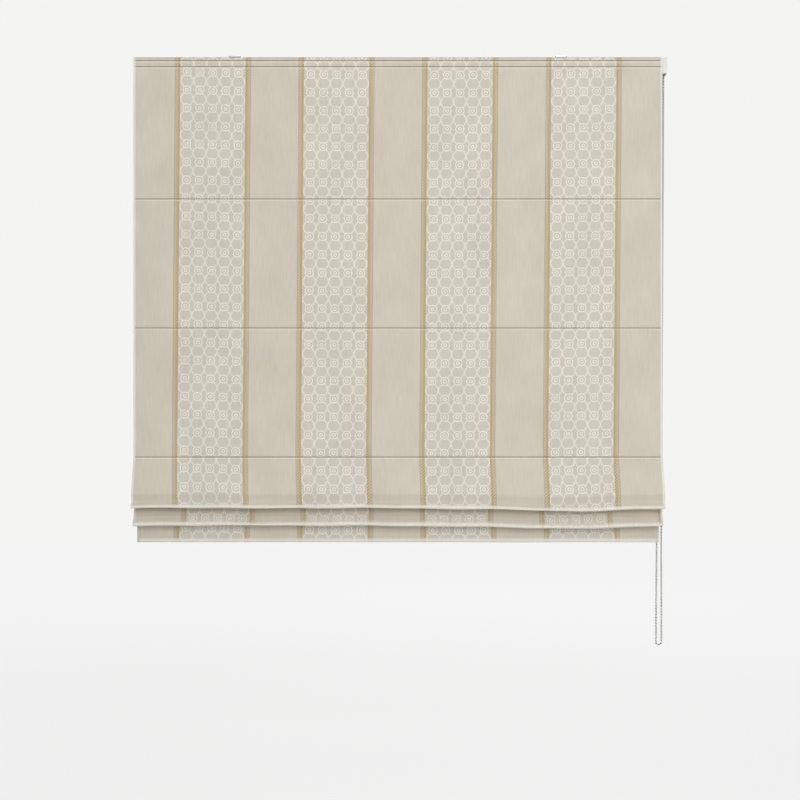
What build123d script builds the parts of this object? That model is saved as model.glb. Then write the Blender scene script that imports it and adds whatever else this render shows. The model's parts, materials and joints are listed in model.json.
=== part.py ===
"""Roman blind with a chain drive, half raised: two folds and the hem flap are gathered under the third rod.

X runs along the blind, Y runs back from the room, Z is up. The origin is the middle of the four
screw holes, in the plane where the brackets meet the lintel.
"""
import os
from math import cos, pi, sin

from build123d import *

os.makedirs("parts", exist_ok=True)

# Cloth
cloth_width = 1070.0
first_line_drop = 286.3
section_drop = 261.0
upper_rods = 3
face_thickness = 0.9
lining_thickness = 0.5
layer_gap = 0.1
side_hem = 36.0
lining_tuck = 18.0

# Gathered folds, measured from the third rod line
fold_1_reach = 36.0
fold_1_drop = 101.6
belly_depth = 3.0
fold_2_reach = 14.0
fold_2_drop = 140.4
fold_radius = 3.5
belly_radius = 120.0
crease_radius = 8.0
gather_drop = 40.0
gather_setback = 10.5
gather_pitch = 10.5
gather_radius = 3.0
knee_radius = 18.0
knee_1_setback = 14.0
knee_1_rise = 7.0
knee_2_setback = 5.0
knee_2_rise = 12.0
shoulder_drop = 75.0
shoulder_step = 2.0
belly_share = 0.5
gather_bend_share = 0.9

# Hem flap and bottom bar
flap_drop = 176.1
flap_lean = 1.0
hem_turn_up = 32.0
bar_height = 25.0
bar_thickness = 3.0
bar_edge = 0.75
bar_cap_wall = 0.6
bar_cap_length = 9.0
bar_inset = 7.0
bar_clearance = 0.15
bar_lift_share = 0.3
hem_bend_share = 0.9

# Hook-and-loop header
tape_width = 16.0
tape_top_inset = 4.5
hook_thickness = 1.4
loop_thickness = 1.2
tape_recess = 0.4
tape_end_inset = 2.0

# Lines of stitching pressed into the face cloth
header_stitch_drops = (6.5, 18.6)
stitch_width = 1.6
stitch_depth = 0.4

# Rods in their pockets, and the rings sewn on the pockets
rod_diameter = 4.0
pocket_height = 14.0
pocket_depth = 5.2
pocket_wall = 0.5
pocket_corner = 1.2
rod_end_inset = 5.0
ring_outer = 12.0
ring_inner = 8.0
ring_thickness = 2.0
ring_sides = 8

# Headrail
rail_depth = 30.0
rail_height = 32.0
rail_wall = 1.4
rail_slot = 18.0
rail_corner = 1.0
shaft_drop = 16.0
cap_thickness = 2.0
cap_inset = 1.0
plug_length = 12.0

# Lift drums, their cradles and the lift cords
lift_count = 3
lift_end_inset = 95.0
drum_length = 34.0
drum_radius = 7.0
flange_radius = 10.0
flange_thickness = 2.0
shaft_side = 6.0
journal_radius = 6.0
journal_flange_radius = 8.0
journal_flange_thickness = 1.5
cradle_depth = 25.0
cradle_base = 1.6
spout_radius = 3.0
spout_bore = 1.2
spout_drop = 2.5
cord_diameter = 1.2
cord_bend = 8.0
lock_diameter = 7.0
lock_length = 9.0
lock_sides = 6
lock_edge = 1.75

# Chain, sprocket and control unit
bead_pitch = 6.0
bead_diameter = 4.5
bead_sides = 6
neck_diameter = 1.4
chain_drop = 1195.0
chain_loop_inset = 2.8
chain_side_gap = 1.0
chain_back_gap = 3.0
loop_bead_count = 3
connector_bead_count = 3
beads_above_count = 58
connector_wall = 0.9
connector_lip = 0.8
connector_room = 0.4
connector_edge = 0.45
flat_share = 1e-6
pocket_count = 12
groove_width = 5.3
sprocket_flange = 1.4
sprocket_rim = 1.5
rib_thickness = 1.2
hub_radius = 7.0
hub_length = 9.0
control_wall = 1.6
control_room = 1.15
boss_radius = 4.0
boss_length = 3.0
washer_radius = 9.0

# Brackets
bracket_end_inset = 205.0
screw_spacing = 18.0
plate_width = 26.0
plate_depth = 30.0
plate_thickness = 2.0
plate_corner = 3.0
screw_radius = 2.25
screw_head_radius = 3.4
rivet_radius = 2.5
rivet_head_radius = 4.2
rivet_head_thickness = 1.0
lever_length = 30.0
lever_width = 9.0
latch_hub_radius = 7.5
latch_thickness = 1.4
neck_radius = 5.0
ear_length = 23.0
ear_width = 9.0

# Clearances
seat_gap = 0.1
slide_gap = 0.2
run_gap = 0.05
part_gap = 0.3
cut_over = 1.0

# Levels worked out from the sizes above
rail_top = -(plate_thickness + latch_thickness + 2 * part_gap)
rail_mid = rail_top - rail_height / 2
rail_bottom = rail_top - rail_height
rail_floor = rail_bottom + rail_wall
shaft_z = rail_top - shaft_drop
cloth_top = rail_top
tape_z = cloth_top - tape_top_inset - tape_width / 2
line_levels = [cloth_top - first_line_drop - section_drop * n for n in range(upper_rods)]
stack_z = line_levels[-1]
hook_back = -rail_depth / 2 + tape_recess
loop_back = hook_back - hook_thickness - seat_gap
lining_reach = layer_gap + lining_thickness
return_near = lining_reach + layer_gap
return_far = return_near + face_thickness
cloth_y = loop_back - loop_thickness - seat_gap - lining_reach
pocket_front = cloth_y + lining_reach + seat_gap
cord_y = pocket_front + pocket_depth + seat_gap + ring_outer / 2
cord_radius = cord_diameter / 2
shaft_y = cord_y + cord_radius + part_gap + drum_radius
half_width = cloth_width / 2
hem_edge = half_width - side_hem
tape_end = hem_edge - tape_end_inset

# Chain drive worked out from the pitch of the beads
bead_radius = bead_diameter / 2
pitch_radius = bead_pitch / (2 * sin(pi / pocket_count))
root_radius = pitch_radius - bead_radius - slide_gap
sprocket_radius = pitch_radius + sprocket_rim
sprocket_half = groove_width / 2 + sprocket_flange
sprocket_x = half_width + chain_side_gap + bead_radius
cavity_radius = pitch_radius + bead_radius + control_room
cavity_left = sprocket_x - sprocket_half - control_room
cavity_right = sprocket_x + sprocket_half + control_room
rail_right = cavity_left - control_wall
rail_left = -half_width + cap_inset + cap_thickness
rail_room_depth = rail_depth - 2 * rail_wall
rail_room_height = rail_height - 2 * rail_wall
lift_spacing = (cloth_width - 2 * lift_end_inset) / (lift_count - 1)
lift_places = [lift_spacing * (n - (lift_count - 1) / 2) for n in range(lift_count)]
bracket_places = [bracket_end_inset - half_width, half_width - bracket_end_inset]


def keep(piece, name):
    """Label a finished piece and write it under its name."""
    piece.part.label = name
    export_step(piece.part, f"parts/{name}.step")


# The gathered rods stand in a row behind the cords
gather_z = stack_z - gather_drop
gather_rows = [cord_y + gather_setback + gather_pitch * n for n in range(2)]
pocket_seat = gather_z + lining_reach + seat_gap
ring_row_z = pocket_seat + pocket_height + seat_gap + ring_outer / 2
flap_y = gather_rows[1] + gather_radius
hem_y = flap_y + flap_lean
hem_gap = bar_thickness + 2 * (bar_cap_wall + 2 * bar_clearance)
hem_z = stack_z - flap_drop + face_thickness
hem_top = hem_z + hem_turn_up
bar_y = hem_y + hem_gap / 2
bar_z = hem_z + bar_lift_share * hem_gap + bar_cap_wall + bar_clearance + bar_height / 2


def folds():
    """Corners of the seam line between face cloth and lining, from the top edge down to the flap."""
    first, second = gather_rows
    fold_1 = (cloth_y - fold_1_reach, stack_z - fold_1_drop)
    fold_2 = (cloth_y - fold_2_reach, stack_z - fold_2_drop)
    belly = (
        cloth_y - fold_1_reach * belly_share - belly_depth,
        stack_z - fold_1_drop * belly_share,
    )
    bend = gather_bend_share * gather_radius
    return [
        ((cloth_y, cloth_top), None),
        ((cloth_y, stack_z), crease_radius),
        (belly, belly_radius),
        (fold_1, fold_radius),
        ((first - gather_radius - knee_1_setback, fold_1[1] + knee_1_rise), knee_radius),
        ((first - gather_radius, gather_z), bend),
        ((first + gather_radius, gather_z), bend),
        ((first + gather_radius - shoulder_step, stack_z - shoulder_drop), knee_radius),
        (fold_2, fold_radius),
        ((second - gather_radius - knee_2_setback, fold_2[1] + knee_2_rise), knee_radius),
        ((second - gather_radius, gather_z), bend),
        ((flap_y, gather_z), bend),
    ]


def hem():
    """Corners of the seam line round the bottom bar, from the flap to the turned-up edge."""
    bend = hem_bend_share * hem_gap / 2
    return [
        ((hem_y, hem_z), bend),
        ((hem_y + hem_gap, hem_z), bend),
        ((hem_y + hem_gap, hem_top), None),
    ]


def shifted(corners, shift):
    """Corners and bend radii of the line that runs beside the seam line, shift behind the cloth's face."""
    points = [Vector(*place) for place, _ in corners]
    runs = [(b - a).normalized() for a, b in zip(points, points[1:])]
    normals = [Vector(-run.Y, run.X) for run in runs]
    moved = [points[0] + normals[0] * shift]
    radii = []
    for n in range(1, len(points) - 1):
        before, after = normals[n - 1], normals[n]
        moved.append(points[n] + (before + after) * (shift / (1 + before.dot(after))))
        inward = 1 if runs[n - 1].cross(runs[n]).Z > 0 else -1
        radii.append(corners[n][1] - inward * shift)
    moved.append(points[-1] + normals[-1] * shift)
    return moved, radii


def layer(corners, near, far):
    """Outline of one layer of cloth, from near to far behind the seam line (less than zero is in front)."""
    near_points, near_radii = shifted(corners, near)
    far_points, far_radii = shifted(corners, far)
    with BuildLine(mode=Mode.PRIVATE) as outline:
        FilletPolyline(*near_points, radius=near_radii)
        FilletPolyline(*far_points, radius=far_radii)
        Line(near_points[0], far_points[0])
        Line(near_points[-1], far_points[-1])
    make_face(outline.edges())


sheet_corners = folds() + [((hem_y, hem_top + lining_tuck), None)]

with BuildPart() as face_fabric:
    with BuildSketch(Plane.YZ.offset(-half_width)):
        layer(folds() + hem(), 0, -face_thickness)
    extrude(amount=cloth_width)
    for start, amount in ((-half_width, side_hem), (hem_edge, side_hem)):
        with BuildSketch(Plane.YZ.offset(start)):
            layer(sheet_corners, return_near, return_far)
        extrude(amount=amount)
    for start in (-half_width, half_width - face_thickness):
        with BuildSketch(Plane.YZ.offset(start)):
            layer(sheet_corners, 0, return_far)
        extrude(amount=face_thickness)
    front = cloth_y - face_thickness
    for level in [cloth_top - drop for drop in header_stitch_drops] + line_levels:
        with BuildSketch(Plane.YZ.offset(-half_width)):
            with BuildLine():
                Polyline(
                    (front, level + stitch_width / 2),
                    (front + stitch_depth, level),
                    (front, level - stitch_width / 2),
                    (front - stitch_width, level),
                    close=True,
                )
            make_face()
        extrude(amount=cloth_width, mode=Mode.SUBTRACT)
keep(face_fabric, "face_fabric")

with BuildPart() as lining:
    with BuildSketch(Plane.YZ.offset(-half_width + face_thickness + layer_gap)):
        layer(sheet_corners, layer_gap, lining_reach)
    extrude(amount=cloth_width - 2 * (face_thickness + layer_gap))
keep(lining, "lining")

with BuildPart() as bottom_bar:
    with BuildSketch(Plane.YZ.offset(-half_width + bar_inset)):
        with Locations((bar_y, bar_z)):
            Rectangle(bar_thickness, bar_height)
    extrude(amount=cloth_width - 2 * bar_inset)
    fillet(bottom_bar.edges().filter_by(Axis.X), radius=bar_edge)
keep(bottom_bar, "bottom_bar")

for side, name in ((-1, "bar_cap_left"), (1, "bar_cap_right")):
    outer_x = side * (half_width - bar_inset + bar_cap_wall + bar_clearance)
    cap_plane = Plane(origin=(outer_x, bar_y, bar_z), x_dir=(0, 0, 1), z_dir=(-side, 0, 0))
    with BuildPart() as bar_cap:
        with BuildSketch(cap_plane):
            room = 2 * (bar_cap_wall + bar_clearance)
            Rectangle(bar_height + room, bar_thickness + room)
        extrude(amount=bar_cap_length)
        with BuildSketch(cap_plane.offset(bar_cap_wall)):
            Rectangle(bar_height + 2 * bar_clearance, bar_thickness + 2 * bar_clearance)
        extrude(amount=bar_cap_length, mode=Mode.SUBTRACT)
    keep(bar_cap, name)

# Pockets hang behind the lining on the upper lines and stand on the gathered bends below them
pocket_places = [(pocket_front, level - pocket_height) for level in line_levels]
pocket_places += [(row - pocket_depth / 2, pocket_seat) for row in gather_rows]
for number, (front, foot) in enumerate(pocket_places, 1):
    middle = (front + pocket_depth / 2, foot + pocket_height / 2)
    with BuildPart() as rod_pocket:
        with BuildSketch(Plane.YZ.offset(-tape_end)) as sleeve:
            with Locations(middle):
                Rectangle(pocket_depth, pocket_height)
            chamfer(sleeve.vertices(), length=pocket_corner)
            with Locations(middle):
                Rectangle(
                    pocket_depth - 2 * pocket_wall,
                    pocket_height - 2 * (pocket_corner + pocket_wall),
                    mode=Mode.SUBTRACT,
                )
        extrude(amount=2 * tape_end)
    keep(rod_pocket, f"rod_pocket_{number}")

    with BuildPart() as rod:
        with BuildSketch(Plane.YZ.offset(-tape_end + rod_end_inset)):
            with Locations(middle):
                Circle(rod_diameter / 2)
        extrude(amount=2 * (tape_end - rod_end_inset))
    keep(rod, f"rod_{number}")

    with BuildPart() as cord_rings:
        for lift_x in lift_places:
            if number <= upper_rods:
                ring_plane = Plane(origin=(lift_x, cord_y, middle[1]), z_dir=(0, 0, 1))
            else:
                ring_plane = Plane(origin=(lift_x, middle[0], ring_row_z), z_dir=(0, 1, 0))
            with BuildSketch(ring_plane.offset(-ring_thickness / 2)):
                turn = 180 / ring_sides
                RegularPolygon(ring_outer / 2, ring_sides, major_radius=False, rotation=turn)
                RegularPolygon(
                    ring_inner / 2, ring_sides, major_radius=False, rotation=turn, mode=Mode.SUBTRACT
                )
            extrude(amount=ring_thickness)
    keep(cord_rings, f"cord_rings_{number}")

# Header tapes
for name, back, thickness in (
    ("hook_tape", hook_back, hook_thickness),
    ("loop_tape", loop_back, loop_thickness),
):
    with BuildPart() as header_tape:
        with BuildSketch(Plane.YZ.offset(-tape_end)):
            with Locations((back - thickness / 2, tape_z)):
                Rectangle(thickness, tape_width)
        extrude(amount=2 * tape_end)
    keep(header_tape, name)

with BuildPart() as headrail:
    with BuildSketch(Plane.YZ.offset(rail_left)):
        with Locations((0, rail_mid)):
            RectangleRounded(rail_depth, rail_height, rail_corner)
            Rectangle(rail_room_depth, rail_room_height, mode=Mode.SUBTRACT)
        with Locations((0, rail_top)):
            Rectangle(rail_slot, 2 * rail_wall + cut_over, mode=Mode.SUBTRACT)
        with Locations((-rail_depth / 2, tape_z)):
            Rectangle(2 * tape_recess, tape_width + 2 * slide_gap, mode=Mode.SUBTRACT)
    extrude(amount=rail_right - rail_left)
    with BuildSketch(Plane.XY.offset(rail_floor + cut_over)):
        with Locations(*[(x, cord_y) for x in lift_places]):
            Circle(spout_radius + slide_gap)
    extrude(amount=-(rail_wall + 2 * cut_over), mode=Mode.SUBTRACT)
keep(headrail, "headrail")

with BuildPart() as end_cap:
    with BuildSketch(Plane.YZ.offset(rail_left - cap_thickness)):
        with Locations((0, rail_mid)):
            RectangleRounded(rail_depth, rail_height, rail_corner)
    extrude(amount=cap_thickness)
    with BuildSketch(Plane.YZ.offset(rail_left)):
        with Locations((0, rail_mid)):
            Rectangle(rail_room_depth - 2 * slide_gap, rail_room_height - 2 * slide_gap)
    extrude(amount=plug_length)
    with BuildSketch(Plane.YZ.offset(rail_left)):
        with Locations((shaft_y, shaft_z)):
            Circle(journal_radius + run_gap)
    extrude(amount=plug_length, mode=Mode.SUBTRACT)
keep(end_cap, "end_cap")

# Drive: journal, shaft, drums and sprocket turn together on one axis
shaft_line = Axis((0, shaft_y, shaft_z), (1, 0, 0))
shaft_left = rail_left + part_gap
hub_left = sprocket_x - sprocket_half - hub_length
shaft_right = sprocket_x - sprocket_half + boss_length


def square_socket(start):
    """Outline of the square socket that the shaft slides into, at start along X."""
    with BuildSketch(Plane.YZ.offset(start)) as socket:
        with Locations((shaft_y, shaft_z)):
            Rectangle(shaft_side + 2 * run_gap, shaft_side + 2 * run_gap)
    return socket.sketch


def half_profile(*corners):
    """Face between the shaft's axis and an outline of (X, radius) corners, ready to be turned."""
    with BuildSketch(Plane(origin=(0, shaft_y, shaft_z), x_dir=(1, 0, 0), z_dir=(0, -1, 0))) as half:
        with BuildLine():
            Polyline(*corners, close=True)
        make_face()
    return half.sketch


with BuildPart() as drive_shaft:
    with BuildSketch(Plane.YZ.offset(shaft_left)):
        with Locations((shaft_y, shaft_z)):
            Rectangle(shaft_side, shaft_side)
    extrude(amount=shaft_right - shaft_left)
keep(drive_shaft, "drive_shaft")

journal_right = rail_left + plug_length + part_gap
with BuildPart() as shaft_journal:
    profile = half_profile(
        (shaft_left, 0),
        (shaft_left, journal_radius),
        (journal_right, journal_radius),
        (journal_right, journal_flange_radius),
        (journal_right + journal_flange_thickness, journal_flange_radius),
        (journal_right + journal_flange_thickness, 0),
    )
    revolve(profile, axis=shaft_line)
    bore = plug_length + journal_flange_thickness + 2 * cut_over
    extrude(square_socket(shaft_left - cut_over), amount=bore, mode=Mode.SUBTRACT)
keep(shaft_journal, "shaft_journal")

for number, lift_x in enumerate(lift_places, 1):
    drum_left = lift_x - drum_length / 2
    drum_right = lift_x + drum_length / 2
    with BuildPart() as lift_drum:
        profile = half_profile(
            (drum_left - flange_thickness, 0),
            (drum_left - flange_thickness, flange_radius),
            (drum_left, flange_radius),
            (drum_left, drum_radius),
            (drum_right, drum_radius),
            (drum_right, flange_radius),
            (drum_right + flange_thickness, flange_radius),
            (drum_right + flange_thickness, 0),
        )
        revolve(profile, axis=shaft_line)
        socket = square_socket(drum_left - flange_thickness - cut_over)
        bore = drum_length + 2 * (flange_thickness + cut_over)
        extrude(socket, amount=bore, mode=Mode.SUBTRACT)
    keep(lift_drum, f"lift_drum_{number}")

    with BuildPart() as drum_cradle:
        with BuildSketch(Plane.XY.offset(rail_floor)):
            with Locations((lift_x, 0)):
                Rectangle(drum_length + 2 * flange_thickness, cradle_depth)
        extrude(amount=cradle_base)
        for start in (drum_left - flange_thickness, drum_right):
            with BuildSketch(Plane.YZ.offset(start)):
                with Locations((0, (rail_floor + shaft_z) / 2)):
                    Rectangle(cradle_depth, shaft_z - rail_floor)
                with Locations((shaft_y, shaft_z)):
                    Circle(flange_radius + run_gap, mode=Mode.SUBTRACT)
            extrude(amount=flange_thickness)
        with BuildSketch(Plane.XY.offset(rail_bottom - spout_drop)):
            with Locations((lift_x, cord_y)):
                Circle(spout_radius)
        extrude(amount=spout_drop + rail_wall)
        with BuildSketch(Plane.XY.offset(rail_bottom - spout_drop)):
            with Locations((lift_x, cord_y)):
                Circle(spout_bore)
        extrude(amount=spout_drop + rail_wall + cradle_base, mode=Mode.SUBTRACT)
    keep(drum_cradle, f"drum_cradle_{number}")

    lock_front = gather_rows[1] + ring_thickness / 2 + seat_gap
    with BuildPart() as lift_cord:
        with BuildLine(Plane.YZ.offset(lift_x)):
            FilletPolyline(
                (cord_y, shaft_z), (cord_y, ring_row_z), (lock_front, ring_row_z), radius=cord_bend
            )
        with BuildSketch(Plane(origin=(lift_x, cord_y, shaft_z), z_dir=(0, 0, -1))):
            Circle(cord_radius)
        sweep()
    keep(lift_cord, f"lift_cord_{number}")

    with BuildPart() as cord_lock:
        with BuildSketch(Plane(origin=(lift_x, lock_front, ring_row_z), z_dir=(0, 1, 0))):
            RegularPolygon(lock_diameter / 2, lock_sides)
        extrude(amount=lock_length)
        chamfer(cord_lock.faces().sort_by(Axis.Y)[-1].edges(), length=lock_edge)
    keep(cord_lock, f"cord_lock_{number}")

# Sprocket with one pocket for each bead, and its ribs between them
rib_top = pitch_radius * cos(pi / pocket_count) - neck_diameter / 2 - part_gap
with BuildPart() as sprocket:
    profile = half_profile(
        (hub_left, 0),
        (hub_left, hub_radius),
        (sprocket_x - sprocket_half, hub_radius),
        (sprocket_x - sprocket_half, sprocket_radius),
        (sprocket_x - groove_width / 2, sprocket_radius),
        (sprocket_x - groove_width / 2, root_radius),
        (sprocket_x + groove_width / 2, root_radius),
        (sprocket_x + groove_width / 2, sprocket_radius),
        (sprocket_x + sprocket_half, sprocket_radius),
        (sprocket_x + sprocket_half, 0),
    )
    revolve(profile, axis=shaft_line)
    with BuildSketch(Plane.YZ.offset(sprocket_x - groove_width / 2)):
        with Locations((shaft_y, shaft_z)):
            with PolarLocations(rib_top / 2, pocket_count, start_angle=180 / pocket_count):
                Rectangle(rib_top, rib_thickness)
    extrude(amount=groove_width)
    bore = shaft_right + part_gap - hub_left + cut_over
    extrude(square_socket(hub_left - cut_over), amount=bore, mode=Mode.SUBTRACT)
    with BuildSketch(Plane.YZ.offset(sprocket_x + sprocket_half)):
        with Locations((shaft_y, shaft_z)):
            Circle(boss_radius + run_gap)
    extrude(amount=-(boss_length + part_gap), mode=Mode.SUBTRACT)
keep(sprocket, "sprocket")

control_back = shaft_y + cavity_radius + control_wall
control_depth = control_back + rail_depth / 2
control_middle = (control_back - rail_depth / 2) / 2
with BuildPart() as control_housing:
    with BuildSketch(Plane.YZ.offset(rail_right)):
        with Locations((control_middle, rail_mid)):
            RectangleRounded(control_depth, rail_height, rail_corner)
    extrude(amount=cavity_right - rail_right)
    with BuildSketch(Plane.YZ.offset(cavity_left)):
        with Locations((shaft_y, shaft_z)):
            Circle(cavity_radius)
        with Locations((shaft_y, (shaft_z + rail_bottom - cut_over) / 2)):
            Rectangle(2 * cavity_radius, shaft_z - rail_bottom + cut_over)
    extrude(amount=cavity_right - cavity_left, mode=Mode.SUBTRACT)
    with BuildSketch(Plane.YZ.offset(rail_right)):
        with Locations((0, rail_mid)):
            Rectangle(rail_room_depth - 2 * slide_gap, rail_room_height - 2 * slide_gap)
    extrude(amount=-plug_length)
    with BuildSketch(Plane.YZ.offset(cavity_left)):
        with Locations((shaft_y, shaft_z)):
            Circle(hub_radius + run_gap)
    extrude(amount=-(control_wall + plug_length), mode=Mode.SUBTRACT)
keep(control_housing, "control_housing")

with BuildPart() as control_cover:
    with BuildSketch(Plane.YZ.offset(cavity_right)):
        with Locations((control_middle, rail_mid)):
            RectangleRounded(control_depth, rail_height, rail_corner)
    extrude(amount=control_wall)
    with BuildSketch(Plane.YZ.offset(cavity_right)):
        with Locations((shaft_y, shaft_z)):
            Circle(boss_radius)
    extrude(amount=-(control_room + boss_length))
keep(control_cover, "control_cover")

with BuildPart() as brake_washer:
    with BuildSketch(Plane.YZ.offset(cavity_right - seat_gap)):
        with Locations((shaft_y, shaft_z)):
            Circle(washer_radius)
            Circle(boss_radius + run_gap, mode=Mode.SUBTRACT)
    extrude(amount=-(control_room - 2 * seat_gap))
keep(brake_washer, "brake_washer")

# Brackets: a screwed plate, a rivet, and a latch whose ears turn under the lips of the rail
lever_top = -plate_thickness - part_gap
ear_top = rail_top - rail_wall - part_gap
ear_bottom = ear_top - latch_thickness
for bracket_x, name in zip(bracket_places, ("left", "right")):
    inward = -1 if bracket_x > 0 else 1
    with BuildPart() as bracket_plate:
        with BuildSketch(Plane.XY.offset(-plate_thickness)):
            with Locations((bracket_x, 0)):
                RectangleRounded(plate_width, plate_depth, plate_corner)
                Circle(rivet_radius + run_gap, mode=Mode.SUBTRACT)
        extrude(amount=plate_thickness)
        under_side = Plane(origin=(bracket_x, 0, -plate_thickness), z_dir=(0, 0, -1))
        with Locations(under_side):
            with GridLocations(0, screw_spacing, 1, 2):
                CounterSinkHole(screw_radius, screw_head_radius, depth=plate_thickness)
    keep(bracket_plate, f"bracket_plate_{name}")

    with BuildPart() as bracket_latch:
        with BuildSketch(Plane.XY.offset(lever_top)):
            with Locations((bracket_x, 0)):
                Circle(latch_hub_radius)
            with Locations((bracket_x + inward * lever_length / 2, 0)):
                SlotCenterToCenter(lever_length, lever_width)
        extrude(amount=-latch_thickness)
        with BuildSketch(Plane.XY.offset(lever_top - latch_thickness)):
            with Locations((bracket_x, 0)):
                Circle(neck_radius)
        extrude(amount=ear_top - lever_top + latch_thickness)
        with BuildSketch(Plane.XY.offset(ear_top)):
            with Locations((bracket_x, 0)):
                Rectangle(ear_width, ear_length)
        extrude(amount=-latch_thickness)
        with BuildSketch(Plane.XY.offset(lever_top)):
            with Locations((bracket_x, 0)):
                Circle(rivet_radius + run_gap)
        extrude(amount=ear_bottom - lever_top, mode=Mode.SUBTRACT)
    keep(bracket_latch, f"bracket_latch_{name}")

    with BuildPart() as latch_rivet:
        with BuildSketch(Plane.XY):
            with Locations((bracket_x, 0)):
                Circle(rivet_radius)
        extrude(amount=ear_bottom - part_gap)
        with BuildSketch(Plane.XY.offset(ear_bottom - part_gap)):
            with Locations((bracket_x, 0)):
                Circle(rivet_head_radius)
        extrude(amount=-rivet_head_thickness)
    keep(latch_rivet, f"latch_rivet_{name}")

# Bead chain: over the sprocket, down behind the gathered folds, round the loop at the bottom
chain_y = hem_y + hem_gap + face_thickness + chain_back_gap + bead_radius
chain_x = sprocket_x - chain_loop_inset
loop_radius = loop_bead_count * bead_pitch / pi
loop_z = cloth_top - chain_drop + loop_radius
knee_share = (shaft_z - hem_z) / (shaft_z - loop_z)


def strand(turn):
    """Places along one strand, half a pitch apart, from the sprocket down to the loop.

    turn is -1 for the front strand, which comes down on the right, and 1 for the back one.
    """
    top = Vector(sprocket_x, shaft_y + turn * pitch_radius, shaft_z)
    foot = Vector(chain_x - turn * loop_radius, chain_y, loop_z)
    knee = Vector(top.X + (foot.X - top.X) * knee_share, chain_y, hem_z)
    upper = (knee - top).length
    lower = (foot - knee).length
    steps = 2 * round((upper + lower) / bead_pitch)
    places = []
    for step in range(steps + 1):
        run = (upper + lower) * step / steps
        if run < upper:
            places.append(top + (knee - top) * (run / upper))
        else:
            places.append(knee + (foot - knee) * ((run - upper) / lower))
    return places


def radius_at(step):
    """A bead's radius on even steps and the cord's between two beads on odd ones."""
    return neck_diameter / 2 if step % 2 else bead_radius


front_strand = strand(-1)
back_strand = strand(1)
joint_step = 2 * beads_above_count
stations = []
for step in range(joint_step - 1, 0, -1):
    stations.append((Plane(back_strand[step], x_dir=(1, 0, 0), z_dir=(0, 0, 1)), radius_at(step)))
for step in range(pocket_count + 1):
    angle = pi * step / pocket_count
    radius = pitch_radius * (cos(pi / pocket_count) if step % 2 else 1)
    place = (sprocket_x, shaft_y + radius * cos(angle), shaft_z + radius * sin(angle))
    along = (0, -sin(angle), cos(angle))
    stations.append((Plane(place, x_dir=(1, 0, 0), z_dir=along), radius_at(step)))
for step in range(1, len(front_strand) - 1):
    stations.append((Plane(front_strand[step], x_dir=(1, 0, 0), z_dir=(0, 0, -1)), radius_at(step)))
for step in range(2 * loop_bead_count + 1):
    angle = pi * step / (2 * loop_bead_count)
    place = (chain_x + loop_radius * cos(angle), chain_y, loop_z - loop_radius * sin(angle))
    outward = (cos(angle), 0, -sin(angle))
    along = (-sin(angle), 0, -cos(angle))
    stations.append((Plane(place, x_dir=outward, z_dir=along), radius_at(step)))
for step in range(len(back_strand) - 2, joint_step, -1):
    stations.append((Plane(back_strand[step], x_dir=(-1, 0, 0), z_dir=(0, 0, 1)), radius_at(step)))


def corners_round(plane, radius):
    """Corners of a bead's outline in its plane."""
    angles = [2 * pi * n / bead_sides for n in range(bead_sides)]
    return [plane.from_local_coords((radius * cos(angle), radius * sin(angle), 0)) for angle in angles]


def facet(*corners):
    """A flat face between corners."""
    return Face(Wire.make_polygon(corners))


rings = [corners_round(plane, radius) for plane, radius in stations]
facets = [facet(*reversed(rings[0])), facet(*rings[-1])]
for (plane, _), ring, (next_plane, _), next_ring in zip(stations, rings, stations[1:], rings[1:]):
    straight = plane.z_dir.dot(next_plane.z_dir) > 1 - flat_share
    for n in range(bead_sides):
        a, b = ring[n - 1], ring[n]
        c, d = next_ring[n], next_ring[n - 1]
        facets += [facet(a, b, c, d)] if straight else [facet(a, b, c), facet(a, c, d)]

with BuildPart() as control_chain:
    add(Solid(Shell(facets)))
keep(control_chain, "control_chain")

# Connector: a sleeve that holds the last bead of each end of the chain
upper_end = back_strand[joint_step - connector_bead_count]
lower_end = back_strand[joint_step + connector_bead_count]
sleeve_length = (upper_end - lower_end).length + connector_lip
sleeve_plane = Plane((upper_end + lower_end) / 2, x_dir=(1, 0, 0), z_dir=upper_end - lower_end)
sleeve_axis = Axis(sleeve_plane.origin, sleeve_plane.z_dir)
sleeve_room = bead_diameter + 2 * connector_room
with BuildPart() as chain_connector:
    with BuildSketch(sleeve_plane):
        Rectangle(sleeve_room + 2 * connector_wall, sleeve_room + 2 * connector_wall)
    extrude(amount=sleeve_length / 2, both=True)
    chamfer(chain_connector.edges().filter_by(sleeve_axis), length=connector_edge)
    with BuildSketch(sleeve_plane):
        Rectangle(sleeve_room, sleeve_room)
    extrude(amount=sleeve_length / 2 - connector_lip, both=True, mode=Mode.SUBTRACT)
    with BuildSketch(sleeve_plane):
        Rectangle(neck_diameter + 2 * part_gap, neck_diameter + 2 * part_gap)
    extrude(amount=sleeve_length / 2 + cut_over, both=True, mode=Mode.SUBTRACT)
keep(chain_connector, "chain_connector")
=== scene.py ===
"""Looks of a chain-driven roman blind, built round its CAD frame.

X runs along the blind, Y back from the room and Z up, in metres, as in the frame.
"""

import json
import logging
import math
from dataclasses import dataclass, field, replace
from enum import Enum
from typing import Any, Protocol, Sequence

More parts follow.
